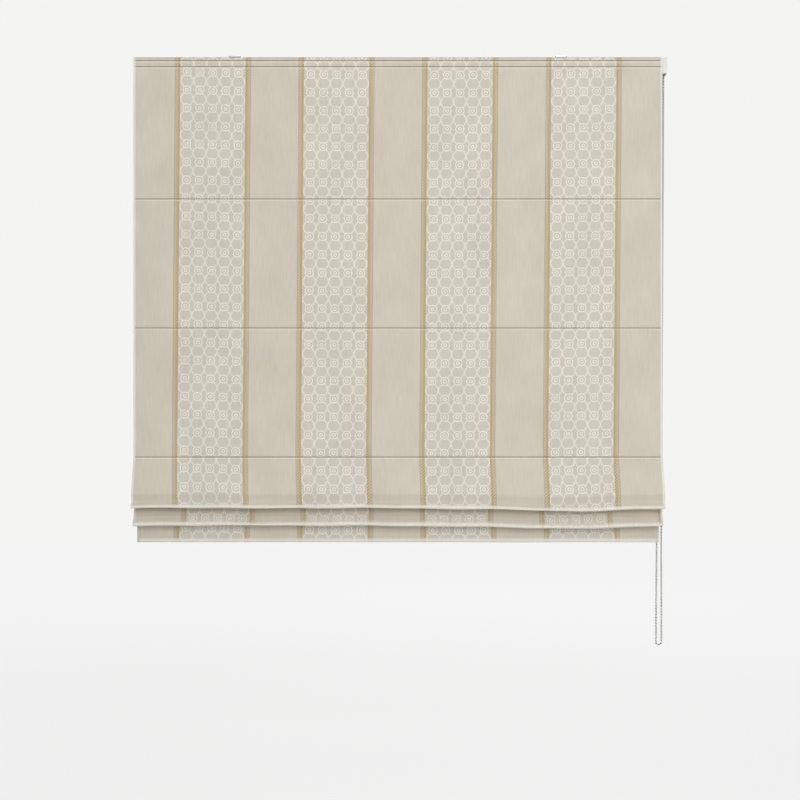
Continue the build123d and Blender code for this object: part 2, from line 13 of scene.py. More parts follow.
import bpy
import numpy as np
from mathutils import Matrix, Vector

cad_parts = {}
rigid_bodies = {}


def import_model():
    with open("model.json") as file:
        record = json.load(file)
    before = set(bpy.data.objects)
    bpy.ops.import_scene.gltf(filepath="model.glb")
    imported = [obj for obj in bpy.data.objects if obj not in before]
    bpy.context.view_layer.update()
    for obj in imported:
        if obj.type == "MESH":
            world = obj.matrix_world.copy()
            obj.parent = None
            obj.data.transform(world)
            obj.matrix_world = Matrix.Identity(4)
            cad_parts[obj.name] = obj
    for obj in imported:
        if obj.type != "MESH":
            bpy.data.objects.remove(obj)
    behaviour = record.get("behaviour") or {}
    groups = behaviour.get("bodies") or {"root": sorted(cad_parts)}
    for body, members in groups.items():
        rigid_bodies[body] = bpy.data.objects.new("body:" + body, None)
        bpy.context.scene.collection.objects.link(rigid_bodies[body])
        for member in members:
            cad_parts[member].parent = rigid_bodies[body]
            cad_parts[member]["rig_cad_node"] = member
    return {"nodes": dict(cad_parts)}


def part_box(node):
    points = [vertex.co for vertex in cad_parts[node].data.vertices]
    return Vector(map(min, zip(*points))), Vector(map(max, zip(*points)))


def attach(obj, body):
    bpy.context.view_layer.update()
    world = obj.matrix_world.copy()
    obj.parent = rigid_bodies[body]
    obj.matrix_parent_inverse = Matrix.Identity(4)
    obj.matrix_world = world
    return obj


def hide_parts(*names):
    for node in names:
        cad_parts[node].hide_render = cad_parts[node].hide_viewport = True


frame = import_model()
LOG = logging.getLogger("roman_blind")
ROOT = "headrail"
DRIVE = "drive"
MM = 0.001
LIFT_PLACES = (-0.44, 0.0, 0.44)

Tree = bpy.types.NodeTree
Socket = bpy.types.NodeSocket
Material = bpy.types.Material
Piece = bpy.types.Object
Colour = tuple[float, float, float, float]
Pair = tuple[float, float]
Triple = tuple[float, float, float]
Face = tuple[int, ...]

MATH = "ShaderNodeMath"
RANGE = "ShaderNodeMapRange"
NOISE = "ShaderNodeTexNoise"
WAVE = "ShaderNodeTexWave"
MAPPING = "ShaderNodeMapping"
SPLIT = "ShaderNodeSeparateXYZ"
COORDS = "ShaderNodeTexCoord"
MIX = "ShaderNodeMix"
# Scale of Blender's wave texture for waves of one metre: straight, and about so on the slant
STRAIGHT_WAVE = 0.314
SLANT_WAVE = 0.5
# Width of a line of drawn metal, as a share of its length
DRAWN_STRETCH = 0.03
# How far light travels inside the milky plastics
GLOW_DEPTH = 2 * MM


def linear(colour: str) -> Colour:
    """Turn an sRGB colour into the linear one that shaders take.

    Args:
        colour: The colour as #RRGGBB.

    Returns:
        Red, green, blue and an alpha of one.
    """
    parts = [int(colour[n : n + 2], 16) / 255 for n in (1, 3, 5)]
    red, green, blue = (p / 12.92 if p <= 0.04045 else ((p + 0.055) / 1.055) ** 2.4 for p in parts)
    return red, green, blue, 1.0


def add(
    tree: Tree,
    kind: str,
    inputs: dict[int | str, Any] | None = None,
    into: Socket | None = None,
    **settings: Any,
) -> Socket:
    """Add a node to a tree, with its settings and links.

    Args:
        tree: The tree that gets the node.
        kind: The node's type name.
        inputs: A value, or the socket to link, for each input by its name or number.
        into: The input that its output is linked to, if it is the last of a chain.
        **settings: Attributes of the node.

    Returns:
        The node's first output in use.
    """
    node = tree.nodes.new(kind)
    for name, value in settings.items():
        setattr(node, name, value)
    for key, value in (inputs or {}).items():
        if isinstance(value, Socket):
            tree.links.new(value, node.inputs[key])
        else:
            node.inputs[key].default_value = value
    output = next(socket for socket in node.outputs if socket.enabled)
    if into is not None:
        tree.links.new(output, into)
    return output


def new_material(name: str) -> tuple[Material, Tree, bpy.types.Node]:
    """Make an empty material.

    Args:
        name: The real material and how it is made.

    Returns:
        The material, its node tree and its principled shader.
    """
    material = bpy.data.materials.new(name)
    material.use_nodes = True
    tree = material.node_tree
    return material, tree, tree.nodes["Principled BSDF"]


def new_piece(
    name: str,
    points: np.ndarray,
    faces: Sequence[Sequence[int]],
    material: Material,
    body: str = ROOT,
    flat: np.ndarray | None = None,
) -> Piece:
    """Make a smooth mesh that rides a body.

    Args:
        name: The piece's name.
        points: Its vertices, one row each.
        faces: The vertex numbers of each face.
        material: Its material.
        body: The body that it moves with.
        flat: Place of each vertex in its finish's pattern, such as its place on the flat cloth.

    Returns:
        The new object.
    """
    mesh = bpy.data.meshes.new(name)
    mesh.from_pydata(points.tolist(), [], [tuple(face) for face in faces])
    mesh.polygons.foreach_set("use_smooth", [True] * len(mesh.polygons))
    if flat is not None:
        loops = np.empty(len(mesh.loops), dtype=np.int64)
        mesh.loops.foreach_get("vertex_index", loops)
        layer = mesh.uv_layers.new(name="flat")
        layer.data.foreach_set("uv", flat[loops].astype(np.float32).ravel())
    mesh.materials.append(material)
    piece = bpy.data.objects.new(name, mesh)
    bpy.context.scene.collection.objects.link(piece)
    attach(piece, body)
    return piece


def grid_faces(rows: int, columns: int, closed: bool = False) -> list[Face]:
    """List the faces of a grid of vertices stored row by row.

    Args:
        rows: Number of rows.
        columns: Number of columns.
        closed: Whether the last column joins the first.

    Returns:
        Four vertex numbers a face.
    """
    faces = []
    for row in range(rows - 1):
        for column in range(columns if closed else columns - 1):
            after = (column + 1) % columns
            low, high = row * columns, (row + 1) * columns
            faces.append((low + column, high + column, high + after, low + after))
    return faces


def tube_faces(rings: int, sides: int) -> list[Face]:
    """List the faces of a tube with closed ends, stored ring by ring.

    Args:
        rings: Number of rings.
        sides: Number of vertices in a ring.

    Returns:
        The vertex numbers of each face.
    """
    faces: list[Face] = [face[::-1] for face in grid_faces(rings, sides, closed=True)]
    last = (rings - 1) * sides
    return faces + [tuple(range(sides))[::-1], tuple(range(last, last + sides))]


def gather(copies: Sequence[np.ndarray], faces: Sequence[Face]) -> tuple[np.ndarray, list[Face]]:
    """Join copies of one shape into a single mesh.

    Args:
        copies: The vertices of each copy.
        faces: The faces of one copy.

    Returns:
        All the vertices and all the faces.
    """
    size = len(copies[0])
    every = [tuple(n + at * size for n in face) for at in range(len(copies)) for face in faces]
    return np.concatenate(copies), every


def thicken(piece: Piece, thickness: float) -> None:
    """Give a sheet its thickness behind its shown side.

    Args:
        piece: The sheet.
        thickness: Its thickness.
    """
    modifier = piece.modifiers.new("thickness", "SOLIDIFY")
    modifier.thickness = thickness
    modifier.offset = -1.0


def bell(away: np.ndarray, width: float) -> np.ndarray:
    """A bump that is one in the middle and dies away over a width."""
    return np.exp(-((away / width) ** 2))


class Grain(Enum):
    """The fine pattern of a surface."""

    SPECK = "speck"
    DRAWN = "drawn"
    WEAVE = "weave"
    BRAID = "braid"


@dataclass(frozen=True)
class Finish:
    """A plain finish with a fine grain.

    Args:
        name: The real material and how it is made.
        colour: Its colour in sRGB.
        roughness: How far it scatters a highlight.
        grain: Its fine pattern.
        grain_size: Real size of one spot, thread or line of the pattern.
        contrast: How much darker the pattern's hollows are.
        relief: Strength of the pattern's relief.
        metallic: One for bare metal.
        sheen: Soft light at the rim of a fibrous surface.
        glow: Share of light that passes into the material.
    """

    name: str
    colour: str
    roughness: float
    grain: Grain
    grain_size: float
    contrast: float
    relief: float
    metallic: float = 0.0
    sheen: float = 0.0
    glow: float = 0.0

    def pattern(self, tree: Tree) -> Socket:
        """Add the grain's nodes.

        Args:
            tree: The material's tree.

        Returns:
            Height of the grain, from zero to one.
        """
        place = add(tree, COORDS).node.outputs["Object"]
        per_metre = 1 / self.grain_size
        if self.grain in (Grain.SPECK, Grain.DRAWN):
            along = DRAWN_STRETCH if self.grain is Grain.DRAWN else 1.0
            scale = (per_metre * along, per_metre, per_metre)
            spot = add(tree, MAPPING, {"Vector": place, "Scale": scale})
            return add(tree, NOISE, {"Vector": spot, "Scale": 1.0, "Detail": 3.0})
        if self.grain is Grain.BRAID:
            bands = {"Vector": place, "Scale": per_metre * SLANT_WAVE, "Distortion": 0.4}
            return add(tree, WAVE, bands, bands_direction="DIAGONAL")
        scale = per_metre * STRAIGHT_WAVE
        bands = {"Vector": place, "Scale": scale, "Distortion": 1.2, "Detail": 1.0}
        warp, weft = (add(tree, WAVE, bands, bands_direction=way) for way in ("X", "Z"))
        return add(tree, MATH, {0: warp, 1: weft}, operation="MULTIPLY")

    def material(self) -> Material:
        """Make the finish's material.

        Returns:
            The material.
        """
        material, tree, shader = new_material(self.name)
        height = self.pattern(tree)
        dark = tuple(part * (1 - self.contrast) for part in linear(self.colour)[:3]) + (1.0,)
        blend = {0: height, 6: dark, 7: linear(self.colour)}
        add(tree, MIX, blend, shader.inputs["Base Color"], data_type="RGBA")
        bump = {"Height": height, "Strength": self.relief, "Distance": self.grain_size / 2}
        add(tree, "ShaderNodeBump", bump, shader.inputs["Normal"])
        for name, value in (
            ("Roughness", self.roughness),
            ("Metallic", self.metallic),
            ("Sheen Weight", self.sheen),
            ("Subsurface Weight", self.glow),
            ("Subsurface Radius", (GLOW_DEPTH,) * 3),
        ):
            shader.inputs[name].default_value = value
        return material


# Powder coat: an even white with a faint orange peel that breaks up the highlight
PAINT = Finish(
    "powder-coated aluminium extrusion", "#F0EFEB", 0.42, Grain.SPECK, 1.4 * MM, 0.03, 0.10
)
# Moulded acetal: dull white with a fine spark-eroded texture
MOULDED = Finish(
    "injection-moulded acetal", "#E3E2DD", 0.58, Grain.SPECK, 0.7 * MM, 0.04, 0.12, glow=0.05
)
# Clear mouldings: milky and glossy, so the rings look lighter than what they hang on
MILKY = Finish(
    "injection-moulded clear nylon", "#E9ECEA", 0.18, Grain.SPECK, 1.5 * MM, 0.05, 0.05, glow=0.3
)
# Drawn aluminium: fine lines along the bar that stretch the highlight across it
DRAWN = Finish(
    "mill-finish drawn aluminium", "#C9CACC", 0.34, Grain.DRAWN, 0.5 * MM, 0.18, 0.15, 1.0
)
# Zinc plate: cool grey metal with a soft mottle
ZINC = Finish("zinc-plated pressed steel", "#C4C6C4", 0.30, Grain.SPECK, 2.5 * MM, 0.16, 0.06, 1.0)
# Pulled glass fibre: chalky white rod with streaks along it
FIBRE = Finish("pulled glass-fibre rod", "#E4E3DC", 0.5, Grain.DRAWN, 0.4 * MM, 0.12, 0.12)
# Pressed fibre: dull brown washer with flecks
PRESSED = Finish("pressed brake fibre", "#4A4238", 0.85, Grain.SPECK, 0.5 * MM, 0.35, 0.3)
# Braided polyester: white cord whose strands cross on the slant
CORD = Finish("braided polyester cord", "#EDEBE4", 0.7, Grain.BRAID, 0.8 * MM, 0.25, 0.5, sheen=0.3)
# Cotton sateen: smooth ivory lining with a faint thread, drawn coarser than the real 0.3 mm so that
# it shows
SATEEN = Finish(
    "woven cotton sateen", "#EAE4D6", 0.75, Grain.WEAVE, 0.9 * MM, 0.07, 0.12, sheen=0.35
)
# Woven tape: white sleeve cloth with a visible plain weave
TAPE = Finish("woven polyester tape", "#F0EDE5", 0.8, Grain.WEAVE, 1.0 * MM, 0.12, 0.3, sheen=0.3)
# Hook and loop: fuzzy white pile
PILE = Finish(
    "knitted hook-and-loop pile", "#ECEAE4", 0.95, Grain.SPECK, 0.8 * MM, 0.25, 0.8, sheen=0.6
)
# Nickel plate: bright steel with hardly any texture, so that the beads mirror the pale room
NICKEL = Finish(
    "nickel-plated rolled steel", "#D6D6D3", 0.24, Grain.SPECK, 1.2 * MM, 0.05, 0.03, 1.0
)
# Core wire: dull steel, painted darker than it is to stand in for the shade in the gap between two
# beads
SHADED_WIRE = Finish("drawn steel core wire", "#6E6E6B", 0.45, Grain.DRAWN, 0.4 * MM, 0.2, 0.05, 1.0)
# Sewing thread: taupe spun polyester, darker than the cloth that it pulls in
THREAD = Finish(
    "spun polyester sewing thread", "#8C8069", 0.8, Grain.BRAID, 0.4 * MM, 0.3, 0.4, sheen=0.2
)

FINISHES: dict[str, Finish] = {
    start: finish
    for finish, starts in (
        (PAINT, ("headrail",)),
        (MOULDED, ("bar_cap", "end_cap", "shaft_journal", "lift_drum", "drum_cradle", "cord_lock")),
        (MOULDED, ("sprocket", "control_housing", "control_cover")),
        (MILKY, ("cord_rings", "chain_connector")),
        (DRAWN, ("bottom_bar", "drive_shaft")),
        (ZINC, ("bracket_plate", "bracket_latch", "latch_rivet")),
        (FIBRE, ("rod_",)),
        (PRESSED, ("brake_washer",)),
        (CORD, ("lift_cord",)),
        (SATEEN, ("face_fabric", "lining")),
        (TAPE, ("rod_pocket",)),
        (PILE, ("hook_tape", "loop_tape")),
        (NICKEL, ("control_chain",)),
    )
    for start in starts
}


@dataclass(frozen=True)
class BeadFinish:
    """Nickel plate that shows the bright plate on the bead's upper side, with a painted dark
    reflection underneath.

    Args:
        plate: The bright plate.
        dark_reflection: Colour of the painted dark reflection on the underside.
        start: How far below the middle the painted reflection begins, as a share of the bead's
            radius.
        full: How far below the middle it covers the plate.
    """

    plate: Finish = NICKEL
    dark_reflection: str = "#30302E"
    start: float = -0.20
    full: float = 0.25

    def material(self) -> Material:
        """Make the beads' material.

        Returns:
            The material.
        """
        material = self.plate.material()
        tree = material.node_tree
        base = tree.nodes["Principled BSDF"].inputs["Base Color"]
        below = add(tree, SPLIT, {0: add(tree, "ShaderNodeUVMap", uv_map="flat")})
        under = add(tree, RANGE, {"Value": below, 1: self.start, 2: self.full, 3: 0.0, 4: 1.0})
        plate = base.links[0].from_socket
        # Painted reflection: the underside of each bead is painted dark, as if it mirrored a dark
        # floor
        add(tree, MIX, {0: under, 6: plate, 7: linear(self.dark_reflection)}, base, data_type="RGBA")
        return material


@dataclass(frozen=True)
class Line:
    """A woven, stitched or pressed line with soft edges.

    Args:
        at: Distance of its middle from where it is measured.
        half: Half its width.
        soft: Width of each soft edge.
    """

    at: float
    half: float
    soft: float

    def moved(self, by: float) -> "Line":
        """The same line, further on."""
        return replace(self, at=self.at + by)

    def mask(self, tree: Tree, distance: Socket) -> Socket:
        """Mask the line.

        Args:
            tree: The material's tree.
            distance: The measured distance.

        Returns:
            One on the line and zero off it.
        """
        off = add(tree, MATH, {0: distance, 1: self.at}, operation="SUBTRACT")
        away = add(tree, MATH, {0: off}, operation="ABSOLUTE")
        limits = {"Value": away, 1: self.half, 2: self.half + self.soft, 3: 1.0, 4: 0.0}
        return add(tree, RANGE, limits, interpolation_type="SMOOTHSTEP")


@dataclass(frozen=True)
class StripedCloth:
    """Furnishing cloth of plain stripes and ring-patterned stripes edged with braid.

    Args:
        plain: Colour of the plain stripes.
        ground: Colour of the patterned stripes' ground.
        thread: Colour of the raised pale thread.
        hatch: Colour of the shaded spaces of the pattern.
        ochre: Colour of the braid.
        brown: Darker colour of the braid.
        cream: Colour of the strip beside the braid.
        tan: Darker colour of that strip.
        edging: Colour of the outermost fine line.
        crease: Colour of the painted shade in a stitched crease and in the bands above the folds.
        lit: Colour of the painted highlights on the edges and below the stitched lines.
        roughness: How far the cloth scatters a highlight.
        sheen: Soft light at the rim of its fibres.
        relief: Strength of the weave's relief.
        relief_depth: Height of the weave's relief.
        stripe_pitch: Distance between patterned stripes.
        stripe_shift: Middle of one patterned stripe.
        stripe_half: Half width of a patterned stripe, to the braid.
        stripe_edge: Width of its soft edge.
        skew: How far the stripes drift sideways for each metre down.
        column_pitch: Width of one repeat of the rings.
        row_pitch: Height of one repeat of the rings.
        row_shift: Distance from the top edge to a disc's middle.
        bow: How far the rows bow up a metre from the middle.
        tilt: How far they fall for each metre to the right.
        twist: How far they rise for each metre to the right on the two folds, beyond that.
        twist_fade: Distance over which that turn dies away above and below the folds.
        step: How far the stripes move to the right from the hanging part to the folds.
        disc: Radius of the plain discs' outline.
        disc_rim: Width of the shade's soft edge outside a disc, and of the clear rim inside it.
        disc_fade: Width of the soft edge of the shade in a disc's middle.
        roundel: Radius of the small double rings.
        ring_parts: Radius of the inner ring and of the shade between both, as a share of that.
        net_gap: Width over which the net of lines fades out beside a double ring.
        wobble: How far the weave pushes the rings' outlines aside.
        hatch_pitch: Distance between the slanting threads of the spaces.
        braid_turn: Length of a turn of the braid, drawn coarser than the real 3 mm to show.
        slub: Width and length of a slub, where a thread thickens.
        yarn: Distance between threads, drawn coarser than the real 1 mm so that they show.
        weft: Size of the coarse weft steps that push the outlines aside.
        cloud: Width and height of the soft patches of tone.
        trellis: The net of lines that joins the rings.
        outline: The discs' own outline.
        outer_ring: The outer of the double rings.
        inner_ring: The inner of the double rings.
        braid: The braid, from the patterned stripe's edge.
        strip: The strip beside the braid.
        border: The outermost fine line.
        stitch: The painted shade in the crease of a stitched line.
        ridge_highlight: The painted highlight on the cloth that swells below a stitched line.
        hollows: Painted shade: a darker band above the first fold's edge, and the first fold's
            shadow on the top of the second.
        hems: Painted highlight on each fold's edge and the hem's; on the short second fold it
            covers all.
        side_hem: Painted highlight along the side edges.
    """

    plain: str = "#D2CABB"
    ground: str = "#D2CDC1"
    thread: str = "#F2EEE5"
    hatch: str = "#C6C1B5"
    ochre: str = "#D3C09C"
    brown: str = "#A8926A"
    cream: str = "#D6C6A9"
    tan: str = "#AB9474"
    edging: str = "#A99D8C"
    crease: str = "#8F836F"
    lit: str = "#F2EDE2"
    roughness: float = 0.85
    sheen: float = 0.15
    relief: float = 0.35
    relief_depth: float = 0.5 * MM
    stripe_pitch: float = 0.250
    stripe_shift: float = 0.126
    stripe_half: float = 0.0652
    stripe_edge: float = 0.8 * MM
    skew: float = 0.008
    column_pitch: float = 0.026
    row_pitch: float = 0.03643
    row_shift: float = 0.0906
    bow: float = 0.0296
    tilt: float = 0.0027
    twist: float = 0.0081
    twist_fade: float = 80 * MM
    step: float = 0.0030
    disc: float = 0.0118
    disc_rim: float = 3 * MM
    disc_fade: float = 2 * MM
    roundel: float = 0.0080
    ring_parts: Pair = (0.4, 0.7)
    net_gap: float = 1.5 * MM
    wobble: float = 0.0036
    hatch_pitch: float = 5.0 * MM
    braid_turn: float = 6.0 * MM
    slub: Pair = (2.4 * MM, 36 * MM)
    yarn: Pair = (2.2 * MM, 2.2 * MM)
    weft: Pair = (6.0 * MM, 6.0 * MM)
    cloud: Pair = (70 * MM, 110 * MM)
    trellis: Line = Line(0.0, 0.3 * MM, 0.9 * MM)
    outline: Line = Line(0.0, 0.2 * MM, 1.0 * MM)
    outer_ring: Line = Line(0.0, 0.6 * MM, 0.9 * MM)
    inner_ring: Line = Line(0.0, 0.7 * MM, 0.8 * MM)
    braid: Line = Line(3.2 * MM, 2.0 * MM, 1.0 * MM)
    strip: Line = Line(7.4 * MM, 1.2 * MM, 0.8 * MM)
    border: Line = Line(10.6 * MM, 0.6 * MM, 1.2 * MM)
    stitch: Line = Line(0.0, 0.5 * MM, 1.1 * MM)
    ridge_highlight: Line = Line(3.4 * MM, 0.6 * MM, 1.2 * MM)
    hollows: tuple[Line, ...] = (Line(-19 * MM, 3 * MM, 8 * MM), Line(-27 * MM, 4 * MM, 8 * MM))
    hems: tuple[Line, ...] = (
        Line(0.0, 2 * MM, 6 * MM),
        Line(0.0, 2 * MM, 14 * MM),
        Line(0.0, 2 * MM, 6 * MM),
    )
    side_hem: Line = Line(0.0, 2.5 * MM, 3 * MM)

    def largest(self, tree: Tree, masks: Sequence[Socket]) -> Socket:
        """Join masks.

        Args:
            tree: The material's tree.
            masks: The masks to join.

        Returns:
            The largest of them at each point.
        """
        joined = masks[0]
        for mask in masks[1:]:
            joined = add(tree, MATH, {0: joined, 1: mask}, operation="MAXIMUM")
        return joined

    def length(self, tree: Tree, across: Socket, along: Socket) -> Socket:
        """Measure the distance from a repeat's middle.

        Args:
            tree: The material's tree.
            across: Distance across the cloth.
            along: Distance along the cloth.

        Returns:
            The straight distance.
        """
        square = add(tree, MATH, {0: across, 1: across}, operation="MULTIPLY")
        total = add(tree, MATH, {0: along, 1: along, 2: square}, operation="MULTIPLY_ADD")
        return add(tree, MATH, {0: total}, operation="SQRT")

    def wave(self, tree: Tree, across: Socket, along: Socket, period: float) -> Socket:
        """Draw threads that run on the slant.

        Args:
            tree: The material's tree.
            across: Distance across the cloth.
            along: Distance along the cloth.
            period: Distance between threads.

        Returns:
            A sine, from minus one to one.
        """
        slant = add(tree, MATH, {0: across, 1: along}, operation="ADD")
        turns = add(tree, MATH, {0: slant, 1: math.tau / period}, operation="MULTIPLY")
        return add(tree, MATH, {0: turns}, operation="SINE")

    def rings(self, tree: Tree, across: Socket, along: Socket) -> tuple[Socket, Socket]:
        """Draw the discs, the small double rings and the net of lines that joins them.

        Args:
            tree: The material's tree.
            across: Distance across from the stripe's middle.
            along: Distance down from the top edge.

        Returns:
            Masks of the pale thread and of the shaded spaces.
        """
        half_row, half_column = self.row_pitch / 2, self.column_pitch / 2
        down = add(tree, MATH, {0: along, 1: self.row_shift}, operation="SUBTRACT")
        next_row = add(tree, MATH, {0: down, 1: half_row}, operation="ADD")
        x, y, ring_y = (
            add(tree, MATH, {0: run, 1: half, 2: -half}, operation="WRAP")
            for run, half in ((across, half_column), (down, half_row), (next_row, half_row))
        )
        disc = self.length(tree, x, y)
        roundel = self.length(tree, x, ring_y)
        turn = add(tree, MATH, {0: y, 1: math.pi / self.row_pitch}, operation="MULTIPLY")
        wave = add(tree, MATH, {0: turn}, operation="COSINE")
        net_x = add(tree, MATH, {0: wave, 1: half_column}, operation="MULTIPLY")
        side = add(tree, MATH, {0: x}, operation="ABSOLUTE")
        net = add(tree, MATH, {0: side, 1: net_x}, operation="SUBTRACT")
        clear, outside, inside = (
            add(tree, RANGE, {"Value": away, 1: near, 2: near + wide, 3: before, 4: after})
            for away, near, wide, before, after in (
                (roundel, self.roundel, self.net_gap, 0.0, 1.0),
                (disc, self.disc, self.disc_rim, 0.0, 1.0),
                (disc, self.disc - self.disc_rim, self.disc_fade, 0.3, 0.0),
            )
        )
        hatch = self.wave(tree, x, ring_y, self.hatch_pitch)
        threads = add(tree, MATH, {0: hatch, 1: 0.4, 2: 0.5}, operation="MULTIPLY_ADD")
        outline = self.outline.moved(self.disc).mask(tree, disc)
        faint, joining, spaces = (
            add(tree, MATH, {0: mask, 1: share}, operation="MULTIPLY")
            for mask, share in (
                (outline, 0.5),
                (self.trellis.mask(tree, net), clear),
                (outside, threads),
            )
        )
        thin = self.largest(tree, [faint, joining])
        pale = [
            add(tree, MATH, {0: thin, 1: 0.95}, operation="MULTIPLY"),
            self.outer_ring.moved(self.roundel).mask(tree, roundel),
            self.inner_ring.moved(self.roundel * self.ring_parts[0]).mask(tree, roundel),
        ]
        between = self.outer_ring.moved(self.roundel * self.ring_parts[1]).mask(tree, roundel)
        return self.largest(tree, pale), self.largest(tree, [spaces, inside, between])

    def material(
        self, stitched: Sequence[float], pressed: Sequence[float], edge: float
    ) -> Material:
        """Make the cloth's material.

        Args:
            stitched: Distance from the top edge to each line of stitches.
            pressed: Distance from the top edge to each pressed fold.
            edge: Distance from the middle to the side edges.

        Returns:
            The finished material.
        """
        # Jacquard: a matt cloth of two tones, with raised pale threads that catch a little light
        material, tree, shader = new_material("woven jacquard furnishing cloth")
        flat = add(tree, "ShaderNodeUVMap", uv_map="flat")
        spread = add(tree, SPLIT, {0: flat}).node.outputs
        across, along = spread["X"], spread["Y"]
        places = [
            add(tree, MAPPING, {"Vector": flat, "Scale": (1 / wide, 1 / high, 1.0)})
            for wide, high in (self.slub, self.yarn, self.weft, self.cloud)
        ]
        slubs, fine, weft, clouds = (
            add(tree, NOISE, {"Vector": place, "Scale": 1.0, "Detail": detail})
            for place, detail in zip(places, (3.0, 2.0, 2.0, 2.0))
        )
        stripe, rows = self.layout(tree, across, along, stitched[-1], pressed)
        side = add(tree, MATH, {0: stripe}, operation="ABSOLUTE")
        push = add(tree, SPLIT, {0: weft.node.outputs["Color"]}).node.outputs
        centred = []
        for axis, at in (("X", stripe), ("Y", rows)):
            off = {0: push[axis], 1: self.wobble, 2: at}
            pushed = add(tree, MATH, off, operation="MULTIPLY_ADD")
            centred.append(add(tree, MATH, {0: pushed, 1: self.wobble / 2}, operation="SUBTRACT"))
        pale, shade = self.rings(tree, *centred)
        outer = self.stripe_half + self.stripe_edge
        ends = {1: self.stripe_half, 2: outer, 3: 1.0, 4: 0.0}
        patterned = add(tree, RANGE, {"Value": side, **ends})
        lively, pulled = (
            add(tree, MATH, {0: fine, 1: gain, 2: lift}, operation="MULTIPLY_ADD", use_clamp=True)
            for gain, lift in ((2.2, -0.25), (1.5, 0.1))
        )
        twist = self.wave(tree, stripe, along, self.braid_turn)
        twisted = add(tree, RANGE, {"Value": twist, 1: -1.0, 2: 1.0, 3: 0.0, 4: 1.0})
        braid, strip, border = (
            line.moved(self.stripe_half).mask(tree, side)
            for line in (self.braid, self.strip, self.border)
        )
        creases, ridge_highlights = (
            self.largest(tree, [line.moved(at).mask(tree, along) for at in stitched])
            for line in (self.stitch, self.ridge_highlight)
        )
        worn, spotted, brown, tan, dots, crease = (
            add(tree, MATH, {0: mask, 1: share}, operation="MULTIPLY")
            for mask, share in (
                (pale, lively),
                (shade, lively),
                (braid, twisted),
                (strip, twisted),
                (border, lively),
                (creases, pulled),
            )
        )
        ring_mask, shade_mask = (
            add(tree, MATH, {0: mask, 1: patterned}, operation="MULTIPLY")
            for mask in (worn, spotted)
        )
        # Painted shade above the first fold's edge, and the first fold's painted shadow on the
        # second fold
        hollows = [line.moved(at).mask(tree, along) for line, at in zip(self.hollows, pressed)]
        # Painted highlight on the edges of the folds, the hem and the sides
        hems = [line.moved(at).mask(tree, along) for line, at in zip(self.hems, pressed)]
        place = add(tree, SPLIT, {0: add(tree, COORDS).node.outputs["Object"]})
        far = add(tree, MATH, {0: place}, operation="ABSOLUTE")
        hems.append(self.side_hem.moved(edge).mask(tree, far))
        colour: Any = linear(self.plain)
        for mask, over, share in (
            (patterned, self.ground, 1.0),
            (shade_mask, self.hatch, 0.85),
            (ring_mask, self.thread, 0.9),
            (dots, self.edging, 0.8),
            (strip, self.cream, 0.8),
            (tan, self.tan, 0.8),
            (braid, self.ochre, 1.0),
            (brown, self.brown, 1.0),
            # Painted shade in the stitched creases
            (crease, self.crease, 0.85),
            # Painted highlight below each stitched line
            (ridge_highlights, self.lit, 0.3),
            # Painted shade and painted shadow above the two folds
            (hollows[0], self.crease, 0.14),
            (hollows[1], self.crease, 0.22),
            # Painted highlight on the edges
            (self.largest(tree, hems), self.lit, 0.75),
        ):
            part = add(tree, MATH, {0: mask, 1: share}, operation="MULTIPLY")
            colour = add(tree, MIX, {0: part, 6: colour, 7: linear(over)}, data_type="RGBA")
        streaks, patches = (
            add(tree, RANGE, {"Value": noise, 1: 0.3, 2: 0.7, 3: dark, 4: bright})
            for noise, dark, bright in ((slubs, 0.96, 1.03), (clouds, 0.96, 1.032))
        )
        tone = add(tree, MATH, {0: streaks, 1: patches}, operation="MULTIPLY")
        tint = {"Color": colour, "Value": tone}
        add(tree, "ShaderNodeHueSaturation", tint, shader.inputs["Base Color"])
        height = slubs
        for mask, share in ((fine, 0.5), (ring_mask, 0.8), (braid, 0.8)):
            height = add(tree, MATH, {0: mask, 1: share, 2: height}, operation="MULTIPLY_ADD")
        bump = {"Height": height, "Strength": self.relief, "Distance": self.relief_depth}
        add(tree, "ShaderNodeBump", bump, shader.inputs["Normal"])
        for name, value in (
            ("Roughness", self.roughness),
            ("Sheen Weight", self.sheen),
            ("Sheen Roughness", 0.5),
            ("Specular IOR Level", 0.2),
        ):
            shader.inputs[name].default_value = value
        return material

    def layout(
        self, tree: Tree, across: Socket, along: Socket, hung: float, pressed: Sequence[float]
    ) -> tuple[Socket, Socket]:
        """Lay out the stripes and the rows of rings, which drift and bow as the cloth hangs.

        Args:
            tree: The material's tree.
            across: Distance across from the cloth's middle.
            along: Distance down from the top edge.
            hung: Distance from the top edge to the end of the hanging part.
            pressed: Distance from the top edge to each pressed fold.

        Returns:
            Distance across from the nearest stripe's middle, and distance down to the rows.
        """
        above = add(tree, MATH, {0: along, 1: hung}, operation="MINIMUM")
        skewed = add(tree, MATH, {0: above, 1: self.skew, 2: across}, operation="MULTIPLY_ADD")
        ends = {3: self.stripe_shift, 4: self.stripe_shift + self.step}
        middle = add(tree, RANGE, {"Value": along, 1: hung, 2: pressed[0], **ends})
        shifted = add(tree, MATH, {0: skewed, 1: middle}, operation="SUBTRACT")
        half = self.stripe_pitch / 2
        stripe = add(tree, MATH, {0: shifted, 1: half, 2: -half}, operation="WRAP")
        between, reach = (pressed[0] + pressed[1]) / 2, (pressed[1] - pressed[0]) / 2
        folded = Line(between, reach, self.twist_fade).mask(tree, along)
        lean = add(tree, MATH, {0: folded, 1: self.twist, 2: -self.tilt}, operation="MULTIPLY_ADD")
        lift = add(tree, MATH, {0: across, 1: self.bow, 2: lean}, operation="MULTIPLY_ADD")
        return stripe, add(tree, MATH, {0: lift, 1: across, 2: along}, operation="MULTIPLY_ADD")


